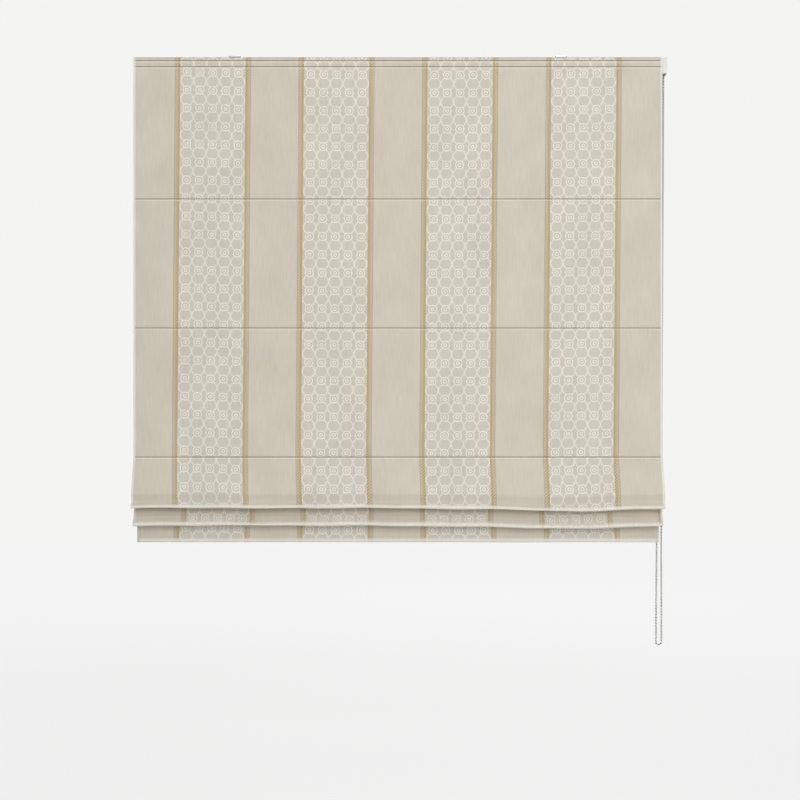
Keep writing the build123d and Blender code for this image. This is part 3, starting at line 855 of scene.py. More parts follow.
@dataclass
class ClothShape:
    """Shape of the hung and gathered cloth.

    Args:
        corners: Y, Z and bend radius of each corner of the seam line, from the top edge to the hem.
        half_width: Distance from the middle to the side edges.
        sheet_end: Y and Z where the lining and side returns end.
        stitch_levels: Z of each stitched line on the flat part.
        sag: How far the folds sag where they hang lowest.
        sag_at: Where along the blind they hang lowest.
        sag_width: How far along the blind the sag spreads.
        ripple: Height of the soft ripples on the folds.
        groove: Depth of a stitched crease.
        dent: Depth of the hollow above a fold's edge.
        dents: Share of that depth at each fold.
        dent_at: Distance of the hollow above the fold's edge, and its reach.
        sway: Share, turns a metre and start of each wave in the sag.
        flat_ripple: Share of the ripples on the hanging part.
        crease_reach: How far a stitched crease reaches.
        swell: Share of the crease's depth that the cloth swells, how far below it, and its reach.
        run_step: Distance between points of the traced seam line.
        arc_step: Degrees between points of a bend.
        row_turn: How far the cloth may bend from one row of vertices to the next.
        stitch_rows: Rows a metre that a stitched line adds, and how far round it.
        press_rows: Rows a metre that a pressed fold adds, and how far round it.
        smooth: Number of points over which the direction behind the cloth is evened out.
        seed: Seed of the ripples.
    """

    corners: tuple[Triple, ...] = (
        (-0.0180, -0.0040, 0.0),
        (-0.0180, -0.8123, 0.0080),
        (-0.0390, -0.8631, 0.1200),
        (-0.0540, -0.9139, 0.0035),
        (-0.0125, -0.9069, 0.0180),
        (0.0015, -0.8523, 0.0027),
        (0.0075, -0.8523, 0.0027),
        (0.0055, -0.8873, 0.0180),
        (-0.0320, -0.9527, 0.0035),
        (0.0070, -0.9407, 0.0180),
        (0.0120, -0.8523, 0.0027),
        (0.0180, -0.8523, 0.0027),
        (0.0190, -0.9875, 0.00216),
        (0.0238, -0.9875, 0.00216),
        (0.0238, -0.9555, 0.0),
    )
    half_width: float = 0.535
    sheet_end: Pair = (0.0190, -0.9375)
    stitch_levels: tuple[float, ...] = (-0.0105, -0.0226, -0.2903, -0.5513, -0.8123)
    sag: float = 0.0060
    sag_at: float = 0.33
    sag_width: float = 0.17
    ripple: float = 0.0008
    groove: float = 0.0008
    dent: float = 0.0066
    dents: Pair = (1.0, 0.4)
    dent_at: Pair = (14 * MM, 7.5 * MM)
    sway: tuple[Triple, ...] = ((0.10, 21.0, 0.6), (0.07, 47.0, 2.1))
    flat_ripple: float = 0.45
    crease_reach: float = 1.5 * MM
    swell: Triple = (0.4, 4.5 * MM, 2.5 * MM)
    run_step: float = 0.25 * MM
    arc_step: float = 4.0
    row_turn: float = 0.24
    stitch_rows: Pair = (560.0, 3 * MM)
    press_rows: Pair = (250.0, 12 * MM)
    smooth: int = 9
    seed: int = 11
    line: np.ndarray = field(init=False)
    run: np.ndarray = field(init=False)
    bends: list[float] = field(init=False)

    def __post_init__(self) -> None:
        """Trace the seam line finely, and find how far along the cloth each corner lies."""
        corners = [Vector(corner[:2]) for corner in self.corners]
        points: list[Vector] = [corners[0]]
        marks: list[int] = []
        for before, corner, after, spec in zip(corners, corners[1:], corners[2:], self.corners[1:]):
            back, on = (before - corner).normalized(), (after - corner).normalized()
            half = back.angle(on) / 2
            start = corner + back * (spec[2] / math.tan(half))
            centre = corner + (back + on).normalized() * (spec[2] / math.sin(half))
            sweep = math.pi - 2 * half
            steps = max(4, round(math.degrees(sweep) / self.arc_step))
            side = 1.0 if (centre - start).cross(-back) < 0 else -1.0
            arm = start - centre
            for step in range(steps + 1):
                turn = side * sweep * step / steps
                cos, sin = math.cos(turn), math.sin(turn)
                swung = Vector((arm.x * cos - arm.y * sin, arm.x * sin + arm.y * cos))
                points.append(centre + swung)
                if step == steps // 2:
                    marks.append(len(points) - 1)
        points.append(corners[-1])
        rough = np.array([tuple(point) for point in points])
        lengths = np.concatenate([[0], np.cumsum(np.hypot(*np.diff(rough, axis=0).T))])
        self.run = np.arange(0.0, lengths[-1], self.run_step)
        self.line = np.stack([np.interp(self.run, lengths, rough[:, n]) for n in (0, 1)], axis=1)
        self.bends = [float(lengths[mark]) for mark in marks]

    @property
    def top(self) -> float:
        """Z of the top edge."""
        return self.corners[0][1]

    @property
    def stitched(self) -> list[float]:
        """Distance down the cloth to each stitched line."""
        return [self.top - level for level in self.stitch_levels]

    @property
    def pressed(self) -> list[float]:
        """Distance down the cloth to the two folds and the hem."""
        return [self.bends[2], self.bends[7], (self.bends[11] + self.bends[12]) / 2]

    def rows(self, end: float, step: float) -> np.ndarray:
        """Choose rows of vertices, close together where the cloth bends or is stitched.

        Args:
            end: Distance down the cloth to the last row.
            step: Distance between rows on flat cloth.

        Returns:
            Distance of each row down the cloth.
        """
        slopes = np.unwrap(np.arctan2(*np.gradient(self.line, axis=0).T))
        bend = np.abs(np.gradient(slopes, self.run))
        density = 1 / step + bend / self.row_turn
        for places, added in ((self.stitched, self.stitch_rows), (self.pressed, self.press_rows)):
            for at in places:
                density += added[0] * bell(self.run - at, added[1])
        inside = self.run <= end
        total = np.cumsum(density[inside]) * self.run_step
        rows = np.interp(np.arange(0, total[-1], 1.0), total, self.run[inside])
        return np.append(rows, end)

    def end_of_sheet(self) -> float:
        """Distance down the cloth to the end of the lining.

        Returns:
            The distance.
        """
        tail = self.run > self.bends[10]
        away = np.hypot(*(self.line - np.array(self.sheet_end)).T)
        away[~tail] = 1.0
        return float(self.run[np.argmin(away)])

    def place(self, x: np.ndarray, down: np.ndarray, behind: np.ndarray) -> np.ndarray:
        """Find where points of the cloth hang.

        Args:
            x: Place along the blind.
            down: Distance down the cloth.
            behind: Distance behind the seam line.

        Returns:
            Points, one row each.
        """
        slope = np.gradient(self.line, self.run, axis=0)
        window = np.ones(self.smooth) / self.smooth
        padded = np.pad(slope, ((self.smooth // 2,) * 2, (0, 0)), "edge")
        even = [np.convolve(padded[:, n], window, "valid") for n in (0, 1)]
        y, z, run_y, run_z = (np.interp(down, self.run, values) for values in (*self.line.T, *even))
        size = np.hypot(run_y, run_z)
        normal_y, normal_z = -run_z / size, run_y / size
        shift = behind + self.relief(x, down)
        drop = self.drop(x, down)
        return np.stack([x, y + normal_y * shift, z + normal_z * shift - drop], axis=-1)

    def drop(self, x: np.ndarray, down: np.ndarray) -> np.ndarray:
        """How far the folds sag.

        Args:
            x: Place along the blind.
            down: Distance down the cloth.

        Returns:
            The sag at each point.
        """
        bends = self.bends
        knots = [self.stitched[-1], self.pressed[0], bends[4], bends[5], self.pressed[1], bends[9]]
        share = np.interp(down, knots, [0.0, 1.0, 0.0, 0.0, 0.9, 0.0], left=0.0, right=0.0)
        share = share * share * (3 - 2 * share)
        waves = sum(height * np.sin(x * turns + begin) for height, turns, begin in self.sway)
        return self.sag * share * (bell(x - self.sag_at, self.sag_width) + waves)

    def relief(self, x: np.ndarray, down: np.ndarray) -> np.ndarray:
        """Ripples, stitched creases and the hollows above the folds' edges.

        Args:
            x: Place along the blind.
            down: Distance down the cloth.

        Returns:
            How far each point moves back.
        """
        random = np.random.default_rng(self.seed)
        beyond = 2.0
        knots = [0.0, *self.stitched[1:], *(self.bends[n] for n in (4, 5, 9, 10)), beyond]
        moved = np.zeros(np.broadcast(x, down).shape)
        for start, end in zip(knots, knots[1:]):
            share = np.clip((down - start) / (end - start), 0, 1)
            swell = np.sin(math.pi * share) ** 2
            height = self.ripple * (1.0 if start > self.stitched[-2] else self.flat_ripple)
            for _ in range(4):
                ranges = ((6, 30), (0, 6.28), (-6, 6))
                pitch, phase, tilt = (random.uniform(*ends) for ends in ranges)
                moved = moved + height / 2 * swell * np.sin(x * pitch + down * tilt + phase)
        share, below, reach = self.swell
        for at in self.stitched:
            moved = moved + self.groove * bell(down - at, self.crease_reach)
            moved = moved - share * self.groove * bell(down - at - below, reach)
        above, reach = self.dent_at
        for at, depth in zip(self.pressed, self.dents):
            moved = moved + depth * self.dent * bell(down - at + above, reach)
        return moved


@dataclass
class Cloth:
    """Face cloth and lining with their stitches.

    Args:
        shape: Shape of the hung cloth.
        finish: Finish of the face cloth.
        face_thickness: Thickness of the face cloth.
        lining_thickness: Thickness of the lining.
        return_width: Width of the side returns.
        return_gap: Distance of the returns' back from the seam line.
        lining_gap: Distance of the lining's back from the seam line.
        lining_inset: Distance of the lining's edge from the cloth's edge.
        stitch_length: Length of a stitch.
        stitch_pitch: Distance between stitches.
        thread_radius: Half thickness of the sewing thread.
        stitch_sides: Number of sides of a stitch.
        stitch_form: Place along a stitch, as a share of its length, and its thickness there.
        stitch_lift: How far the middle of a stitch stands off the cloth.
        stitch_stray: How far a stitch strays from its line.
        stitch_seed: Seed of the stitches' strays.
        seam_end: Distance of the first and last stitch from the side edges.
        squeeze: How far the stripes draw in on the two folds and the hem, as a share of their
            distance from the middle.
        slips: How far the pattern runs ahead at the bends of the gathered part and below the last.
        slip_bends: Numbers of those bends.
        slip_end: Distance below the last of them where the pattern runs ahead no further.
        row_steps: Distance between rows of the face cloth and of the lining where they are flat.
        columns: Number of columns of the face cloth's front and of the lining.
        return_columns: Distance of the returns' first columns from their inner edge.
        turn_columns: Number of steps round a side edge.
        hem_lip: Distance of the hem's painted highlight above its bend.
    """

    shape: ClothShape = field(default_factory=ClothShape)
    finish: StripedCloth = field(default_factory=StripedCloth)
    face_thickness: float = 0.9 * MM
    lining_thickness: float = 0.5 * MM
    return_width: float = 36 * MM
    return_gap: float = 1.6 * MM
    lining_gap: float = 0.6 * MM
    lining_inset: float = 1.0 * MM
    stitch_length: float = 2.6 * MM
    stitch_pitch: float = 4.0 * MM
    thread_radius: float = 0.32 * MM
    stitch_sides: int = 6
    stitch_form: tuple[Pair, ...] = ((-0.5, 0.25), (-0.36, 1.0), (0.36, 1.0), (0.5, 0.25))
    stitch_lift: float = 0.1 * MM
    stitch_stray: float = 0.05 * MM
    stitch_seed: int = 5
    seam_end: float = 4 * MM
    squeeze: Triple = (0.006, 0.0365, -0.010)
    slips: tuple[float, ...] = (0.0, -0.0054, -0.0126, -0.0126, -0.0126, -0.0295, -0.0435)
    slip_bends: tuple[int, ...] = (0, 2, 4, 6, 7, 9, 10)
    slip_end: float = 20 * MM
    row_steps: Pair = (6.5 * MM, 8 * MM)
    columns: tuple[int, int] = (117, 73)
    return_columns: Triple = (0.0, 6 * MM, 20 * MM)
    turn_columns: int = 6
    hem_lip: float = 1.5 * MM

    def build(self) -> list[Piece]:
        """Make the face cloth, the lining and the stitches.

        Returns:
            The three pieces.
        """
        face = self.make_face()
        lining = self.make_lining()
        stitches = self.make_stitches()
        flat = (2 * (self.shape.half_width - self.lining_inset), self.shape.end_of_sheet())
        return [face, lining, stitches]

    def slip(self, down: np.ndarray) -> np.ndarray:
        """How far the pattern runs ahead in the gathered part, whose hidden lengths are guessed.

        Args:
            down: Distance down the cloth.

        Returns:
            The shift of the pattern at each row.
        """
        knots = [self.shape.bends[n] for n in self.slip_bends]
        knots[-1] += self.slip_end
        return np.interp(down, knots, self.slips)

    def draw_in(self, down: np.ndarray) -> np.ndarray:
        """How far the stripes of the gathered part draw in.

        Args:
            down: Distance down the cloth.

        Returns:
            The share of their distance from the middle.
        """
        first, second, hem = self.squeeze
        knots = [self.shape.bends[n] for n in (0, 2, 5, 6, 7, 9)]
        return np.interp(down, knots, [0.0, first, 0.0, second, second, hem])

    def make_face(self) -> Piece:
        """Make the face cloth with its rounded side edges and returns.

        Returns:
            The face cloth.
        """
        front, back = -self.face_thickness, self.return_gap
        radius = (back - front) / 2
        turn_x = self.shape.half_width - radius
        inner = self.shape.half_width - self.return_width
        middle = (front + back) / 2
        turns = np.linspace(math.pi / 2, -math.pi / 2, self.turn_columns + 1)[1:-1]
        side = [(inner + step, back) for step in self.return_columns] + [(turn_x, back)]
        side += [(turn_x + radius * math.cos(a), middle + radius * math.sin(a)) for a in turns]
        across = np.linspace(-turn_x, turn_x, self.columns[0])
        columns = [(-x, offset) for x, offset in side] + [(x, front) for x in across] + side[::-1]
        xs, offsets = np.array(columns).T
        hops = np.hypot(np.diff(xs), np.diff(offsets))
        flat_x = np.concatenate([[0], np.cumsum(hops)])
        flat_x -= flat_x[-1] / 2
        down = self.shape.rows(float(self.shape.run[-1]), self.row_steps[0])
        x_grid, down_grid = np.meshgrid(xs, down)
        behind = np.broadcast_to(offsets, x_grid.shape)
        points = self.shape.place(x_grid, down_grid, behind).reshape(-1, 3)
        slipped = (down + self.slip(down))[:, None]
        drawn = 1 + self.draw_in(down)[:, None]
        flat_grid = np.broadcast_arrays(flat_x[None, :] * drawn, slipped)
        flat = np.stack(flat_grid, axis=-1).reshape(-1, 2)
        end = self.shape.end_of_sheet()
        width = len(columns)
        kept = []
        for face in grid_faces(len(down), width):
            column = face[0] % width
            returned = column < len(side) or column >= width - len(side) - 1
            if not (returned and down[face[1] // width] > end):
                kept.append(face)
        folds = [*self.shape.pressed[:2], self.shape.bends[11] - self.hem_lip]
        pressed = [at + float(self.slip(np.array(at))) for at in folds]
        material = self.finish.material(self.shape.stitched, pressed, self.shape.half_width)
        piece = new_piece("face_cloth", points, kept, material, flat=flat)
        thicken(piece, self.face_thickness)
        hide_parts("face_fabric")
        return piece

    def make_lining(self) -> Piece:
        """Make the lining.

        Returns:
            The lining.
        """
        reach = self.shape.half_width - self.lining_inset
        xs = np.linspace(reach, -reach, self.columns[1])
        down = self.shape.rows(self.shape.end_of_sheet(), self.row_steps[1])
        x_grid, down_grid = np.meshgrid(xs, down)
        points = self.shape.place(x_grid, down_grid, np.full(x_grid.shape, self.lining_gap))
        faces = grid_faces(len(down), len(xs))
        piece = new_piece("lining_cloth", points.reshape(-1, 3), faces, SATEEN.material())
        thicken(piece, self.lining_thickness)
        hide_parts("lining")
        return piece

    def make_stitches(self) -> Piece:
        """Make the stitches along the header and the rod lines.

        Returns:
            All the stitches as one piece.
        """
        random = np.random.default_rng(self.stitch_seed)
        reach = self.shape.half_width - self.seam_end
        count = int(2 * reach / self.stitch_pitch)
        places = (np.arange(count) - (count - 1) / 2) * self.stitch_pitch
        angles = np.arange(self.stitch_sides) * math.tau / self.stitch_sides
        along, wide = np.array(self.stitch_form).T[:, :, None]
        radius = self.thread_radius * wide
        parts = (along * self.stitch_length, radius * np.cos(angles), radius * np.sin(angles))
        stitch = np.stack(np.broadcast_arrays(*parts), axis=-1).reshape(-1, 3)
        lie = np.full(count, -self.face_thickness - self.stitch_lift)
        copies = [
            stitch + seat + random.normal(0, self.stitch_stray, 3)
            for down in self.shape.stitched
            for seat in self.shape.place(places, np.full(count, down), lie)
        ]
        points, faces = gather(copies, tube_faces(len(self.stitch_form), self.stitch_sides))
        piece = new_piece("stitches", points, faces, THREAD.material())
        return piece


@dataclass
class HeaderTapes:
    """Hook tape on the headrail and loop tape on the cloth.

    Args:
        fuzz: Unevenness of the pile, as a share of the tape's thickness.
        edge: Thickness of the bound edges, as a share of the tape's thickness.
        rows: Number of rows of pile up each side.
        columns: Number of tufts along a row.
        seed: Seed of the pile.
    """

    fuzz: float = 0.3
    edge: float = 0.6
    rows: int = 9
    columns: int = 361
    seed: int = 3

    def build(self) -> list[Piece]:
        """Make both tapes with their pile.

        Returns:
            The tapes.
        """
        material = PILE.material()
        random = np.random.default_rng(self.seed)
        tapes = []
        rise = np.linspace(-1, 1, self.rows)
        height = np.concatenate([rise, -rise])
        side = np.repeat([1.0, -1.0], len(rise))
        bound = np.where(np.abs(height) == 1, self.edge, 1.0)
        for name in ("hook_tape", "loop_tape"):
            low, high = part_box(name)
            middle, half = (low + high) / 2, (high - low) / 2
            xs = np.linspace(low.x, high.x, self.columns)[:, None]
            pile = 1 - self.fuzz * random.random((len(xs), len(side)))
            parts = (xs, middle.y + half.y * side * bound * pile, middle.z + half.z * height)
            points = np.stack(np.broadcast_arrays(*parts), axis=-1).reshape(-1, 3)
            piece = new_piece(f"{name}_pile", points, tube_faces(len(xs), len(side)), material)
            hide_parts(name)
            tapes.append(piece)
        return tapes


@dataclass
class Windings:
    """Turns of lift cord on the drums.

    Args:
        axle: Y and Z of the drive's axis.
        cord_radius: Half thickness of the cord.
        turns: Number of turns on each drum as the blind hangs.
        pitch: Distance between turns.
        start: Distance of the first turn from the rising cord, which it clears as the drum turns.
        steps: Number of steps in a turn.
        sides: Number of sides of the cord.
    """

    axle: Pair = (0.0019, -0.0200)
    cord_radius: float = 0.6 * MM
    turns: int = 8
    pitch: float = 1.25 * MM
    start: float = 1.35 * MM
    steps: int = 28
    sides: int = 8

    def build(self) -> list[Piece]:
        """Wind the cord on each drum.

        Returns:
            The wound cords.
        """
        material = CORD.material()
        windings = []
        for number, x in enumerate(LIFT_PLACES, 1):
            cord_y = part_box(f"lift_cord_{number}")[0].y + self.cord_radius
            points = self.wind(x, self.axle[0] - cord_y)
            faces = tube_faces(len(points) // self.sides, self.sides)
            piece = new_piece(f"lift_winding_{number}", points, faces, material, DRIVE)
            windings.append(piece)
        return windings

    def wind(self, x: float, radius: float) -> np.ndarray:
        """Lay the cord round a drum from where it comes up.

        Args:
            x: Place of the rising cord along the blind.
            radius: Distance of the cord's middle from the axis.

        Returns:
            Points of the wound cord.
        """
        turn = np.arange(self.turns * self.steps + 1)[:, None] * math.tau / self.steps
        roll = np.arange(self.sides) * math.tau / self.sides
        out = radius + self.cord_radius * np.cos(roll)
        along = x + self.start + self.pitch * turn / math.tau + self.cord_radius * np.sin(roll)
        y = self.axle[0] - out * np.cos(turn)
        z = self.axle[1] + out * np.sin(turn)
        return np.stack([along, y, z], axis=-1).reshape(-1, 3)


@dataclass
class RodPockets:
    """Tape sleeves that hold the rods, and the rings sewn to them.

    Args:
        ring_radius: Radius of a ring's middle line.
        ring_wire: Half thickness of a ring.
        ring_steps: Number of steps round a ring and of sides of it.
        tie_pitch: Distance between the three threads that hold a ring.
        tie_grip: Radius of a thread's loop, as a share of the ring's half thickness.
        tie_wire: Half thickness of a thread.
        tie_steps: Number of steps round a thread's loop and of sides of it.
        ripple: Height of the sleeves' puckers.
        puckers: Number of waves that make up the puckers.
        columns: Number of rings of vertices along a sleeve.
        sides: Number of vertices in one of them.
        oval: How far the sleeve's oval is squared off in depth and in height.
        wall: Thickness of the tape.
        count: Number of pockets.
        upper: Number of pockets on the flat part of the blind.
    """

    ring_radius: float = 5.0 * MM
    ring_wire: float = 1.0 * MM
    ring_steps: tuple[int, int] = (32, 12)
    tie_pitch: float = 1.1 * MM
    tie_grip: float = 1.25
    tie_wire: float = 0.25 * MM
    tie_steps: tuple[int, int] = (14, 6)
    ripple: float = 0.22 * MM
    puckers: int = 3
    columns: int = 141
    sides: int = 20
    oval: Pair = (0.6, 0.8)
    wall: float = 0.5 * MM
    count: int = 5
    upper: int = 3

    def build(self) -> list[Piece]:
        """Make each pocket and its rings.

        Returns:
            The sleeves, rings and threads.
        """
        tape, milky, thread = TAPE.material(), MILKY.material(), CORD.material()
        pieces = []
        for number in range(1, self.count + 1):
            pieces.append(self.make_sleeve(number, tape))
            pieces += self.make_rings(number, milky, thread)
        return pieces

    def make_sleeve(self, number: int, material: Material) -> Piece:
        """Make one soft sleeve in place of its plain solid.

        Args:
            number: Number of the pocket, from the top.
            material: The tape's material.

        Returns:
            The sleeve.
        """
        name = f"rod_pocket_{number}"
        low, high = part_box(name)
        middle, half = (low + high) / 2, (high - low) / 2
        xs = np.linspace(low.x, high.x, self.columns)[:, None]
        angles = np.linspace(0, math.tau, self.sides + 1)[:-1]
        # A squared-off oval: the tape is flat where it is sewn and swells round the rod
        depth, height = (
            np.sign(part) * np.abs(part) ** power
            for part, power in zip((np.cos(angles), np.sin(angles)), self.oval)
        )
        random = np.random.default_rng(number)
        waves = sum(
            np.sin(xs * random.uniform(40, 160) + random.uniform(0, 6) + angles)
            for _ in range(self.puckers)
        )
        swell = 1 - self.ripple / half.y * (1 + waves / self.puckers) / 2
        parts = (xs, middle.y + half.y * depth * swell, middle.z + half.z * height)
        points = np.stack(np.broadcast_arrays(*parts), axis=-1).reshape(-1, 3)
        faces = [face[::-1] for face in grid_faces(len(xs), len(angles), closed=True)]
        piece = new_piece(f"{name}_tape", points, faces, material)
        thicken(piece, self.wall)
        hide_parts(name)
        return piece

    def make_rings(self, number: int, milky: Material, thread: Material) -> list[Piece]:
        """Make the round rings of one pocket and the threads that hold them.

        Args:
            number: Number of the pocket, from the top.
            milky: The rings' material.
            thread: The sewing thread's material.

        Returns:
            The rings and the threads.
        """
        name = f"cord_rings_{number}"
        low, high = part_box(name)
        middle = (low + high) / 2
        # A ring lies flat under a hanging pocket and stands behind a gathered one
        axis, held = (2, 1) if number <= self.upper else (1, 2)
        centres = [np.array((x, middle.y, middle.z)) for x in LIFT_PLACES]
        steps = [np.array((n * self.tie_pitch, 0, 0)) for n in (-1, 0, 1)]
        seats = [centre + step for centre in centres for step in steps]
        for seat in seats:
            seat[held] -= self.ring_radius
        ring = self.torus(axis, self.ring_radius, self.ring_wire, self.ring_steps)
        tie = self.torus(0, self.ring_wire * self.tie_grip, self.tie_wire, self.tie_steps)
        ring_copies, tie_copies = [ring[0] + at for at in centres], [tie[0] + at for at in seats]
        rings = new_piece(f"{name}_round", *gather(ring_copies, ring[1]), milky)
        ties = new_piece(f"{name}_ties", *gather(tie_copies, tie[1]), thread)
        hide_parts(name)
        return [rings, ties]

    def torus(
        self, axis: int, radius: float, wire: float, counts: tuple[int, int]
    ) -> tuple[np.ndarray, list[Face]]:
        """Make a ring's vertices and faces, round the origin.

        Args:
            axis: Number of the coordinate that the ring turns about.
            radius: Radius of its middle line.
            wire: Half its thickness.
            counts: Number of steps round the ring and of sides of the wire.

        Returns:
            The vertices and the faces.
        """
        turns = [np.arange(count) * math.tau / count for count in counts]
        turn, roll = np.meshgrid(*turns, indexing="ij")
        out = radius + wire * np.cos(roll)
        parts = [out * np.cos(turn), out * np.sin(turn), wire * np.sin(roll)]
        points = np.stack([parts[(n - axis - 1) % 3] for n in range(3)], axis=-1).reshape(-1, 3)
        open_faces = grid_faces(counts[0] + 1, counts[1], closed=True)
        return points, [tuple(n % len(points) for n in face) for face in open_faces]


@dataclass
class BeadChain:
    """The control chain: a wire with beads, over the sprocket and down to its loop.

    Args:
        route: Control points of the free part, from the control unit's mouth and back to it.
        axle: Y and Z of the sprocket's axis.
        sprocket_x: Place of the sprocket along the blind.
        pitch_radius: Radius of the beads' circle on the sprocket.
        pockets: Number of beads in a full turn of the sprocket.
        bead_radius: Radius of a bead.
        wire_radius: Radius of the wire between beads.
        pitch: Distance between beads.
        bead_sides: Number of sides of a bead.
        bead_rings: Number of rings of vertices in a bead.
        bead_ends: Height of the first and last ring, as a share of half a turn.
        curve_steps: Steps between control points of the route.
    """

    route: tuple[Triple, ...] = (
        (0.53829, -0.00904, -0.0360),
        (0.54057, 0.02831, -0.9475),
        (0.54067, 0.02995, -0.9875),
        (0.54077, 0.02995, -1.0275),
        (0.54118, 0.02995, -1.1915),
        (0.54062, 0.02995, -1.1968),
        (0.53731, 0.02995, -1.1990),
        (0.53359, 0.02995, -1.1990),
        (0.53028, 0.02995, -1.1968),
        (0.52972, 0.02995, -1.1915),
        (0.53093, 0.02995, -1.0275),
        (0.53122, 0.02995, -0.9875),
        (0.53151, 0.02927, -0.9475),
        (0.53813, 0.01376, -0.0360),
    )
    axle: Pair = (0.0019, -0.0200)
    sprocket_x: float = 0.53825
    pitch_radius: float = 0.011591
    pockets: int = 12
    bead_radius: float = 2.25 * MM
    wire_radius: float = 0.7 * MM
    pitch: float = 6.0 * MM
    bead_sides: int = 14
    bead_rings: int = 9
    bead_ends: float = 0.46
    curve_steps: int = 24

    def build(self) -> list[Piece]:
        """Make the wire and the beads.

        Returns:
            The wire and the beads.
        """
        trace = self.make_curve("chain_trace", 0.0)
        mesh = bpy.data.meshes.new_from_object(trace)
        line = np.array([vertex.co[:] for vertex in mesh.vertices])
        bpy.data.objects.remove(trace)
        wire = self.make_curve("chain_wire", self.wire_radius)
        # Painted shade: the darker wire marks the shaded gaps between the beads
        wire.data.materials.append(SHADED_WIRE.material())
        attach(wire, ROOT)
        beads = self.make_beads(line, BeadFinish().material())
        return [wire, beads]

    def make_curve(self, name: str, radius: float) -> Piece:
        """Make a curve along the chain's free part.

        Args:
            name: The curve's name.
            radius: Half its thickness, or zero for a bare line.

        Returns:
            The curve.
        """
        curve = bpy.data.curves.new(name, "CURVE")
        curve.dimensions = "3D"
        curve.resolution_u = self.curve_steps
        curve.bevel_depth = radius
        curve.bevel_resolution = 2
        curve.use_fill_caps = radius > 0
        spline = curve.splines.new("NURBS")
        spline.points.add(len(self.route) - 1)
        for point, place in zip(spline.points, self.route):
            point.co = (*place, 1.0)
        spline.order_u = 3
        spline.use_endpoint_u = True
        piece = bpy.data.objects.new(name, curve)
        bpy.context.scene.collection.objects.link(piece)
        bpy.context.view_layer.update()
        return piece

    def bead_places(self, line: np.ndarray) -> np.ndarray:
        """Find the middle of each bead.

        Args:
            line: Points along the chain's free part.

        Returns:
            One row a bead.
        """
        turns = np.arange(self.pockets // 2 + 1) * math.tau / self.pockets
        y, z = self.axle
        across = np.full(len(turns), self.sprocket_x)
        radius = self.pitch_radius
        over = np.stack([across, y - radius * np.cos(turns), z + radius * np.sin(turns)], axis=1)
        path = np.concatenate([over[:1], line, over[-1:]])
        run = np.concatenate([[0], np.cumsum(np.linalg.norm(np.diff(path, axis=0), axis=1))])
        count = round(run[-1] / self.pitch)
        at = np.arange(1, count) * run[-1] / count
        hung = np.stack([np.interp(at, run, path[:, n]) for n in range(3)], axis=1)
        return np.concatenate([over, hung])

    def make_beads(self, line: np.ndarray, material: Material) -> Piece:
        """Make all the beads as one piece.

        Args:
            line: Points along the chain's free part.
            material: The beads' material.

        Returns:
            The beads.
        """
        turns = np.arange(self.bead_sides) * math.tau / self.bead_sides
        rises = np.linspace(-self.bead_ends, self.bead_ends, self.bead_rings) * math.pi
        turn, rise = np.meshgrid(turns, rises)
        parts = (np.cos(rise) * np.cos(turn), np.cos(rise) * np.sin(turn), np.sin(rise))
        ball = np.stack(parts, axis=-1).reshape(-1, 3) * self.bead_radius
        copies = [ball + place for place in self.bead_places(line)]
        points, faces = gather(copies, tube_faces(self.bead_rings, self.bead_sides))
        # The finish reads how far below a bead's middle a point lies, as a share of the radius, to
        # paint the dark reflection underneath
        below = -ball[:, 2:] / self.bead_radius
        flat = np.tile(np.concatenate([below, below], axis=1), (len(copies), 1))
        piece = new_piece("chain_beads", points, faces, material, flat=flat)
        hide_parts("control_chain")
        return piece


@dataclass
class Hardware:
    """Finishes of the headrail, drive, brackets and rods.

    Args:
        finishes: The finish for each start of a node's name.
    """

    finishes: dict[str, Finish] = field(default_factory=lambda: dict(FINISHES))

    def build(self) -> list[Piece]:
        """Give every node of the frame its material.

        Returns:
            The nodes.
        """
        made: dict[Finish, Material] = {}
        for name, node in frame["nodes"].items():
            start = max((key for key in self.finishes if name.startswith(key)), key=len)
            finish = self.finishes[start]
            if finish not in made:
                made[finish] = finish.material()
            node.data.materials.clear()
            node.data.materials.append(made[finish])
        return list(frame["nodes"].values())


@dataclass(frozen=True)
class Lamp:
    """A large square light.

    Args:
        name: The light's name.
        place: Where it stands.
        aim: The point that it faces.
        size: Width of its face.
        power: Its power in watts.
    """

    name: str
    place: Triple
    aim: Triple
    size: float
    power: float


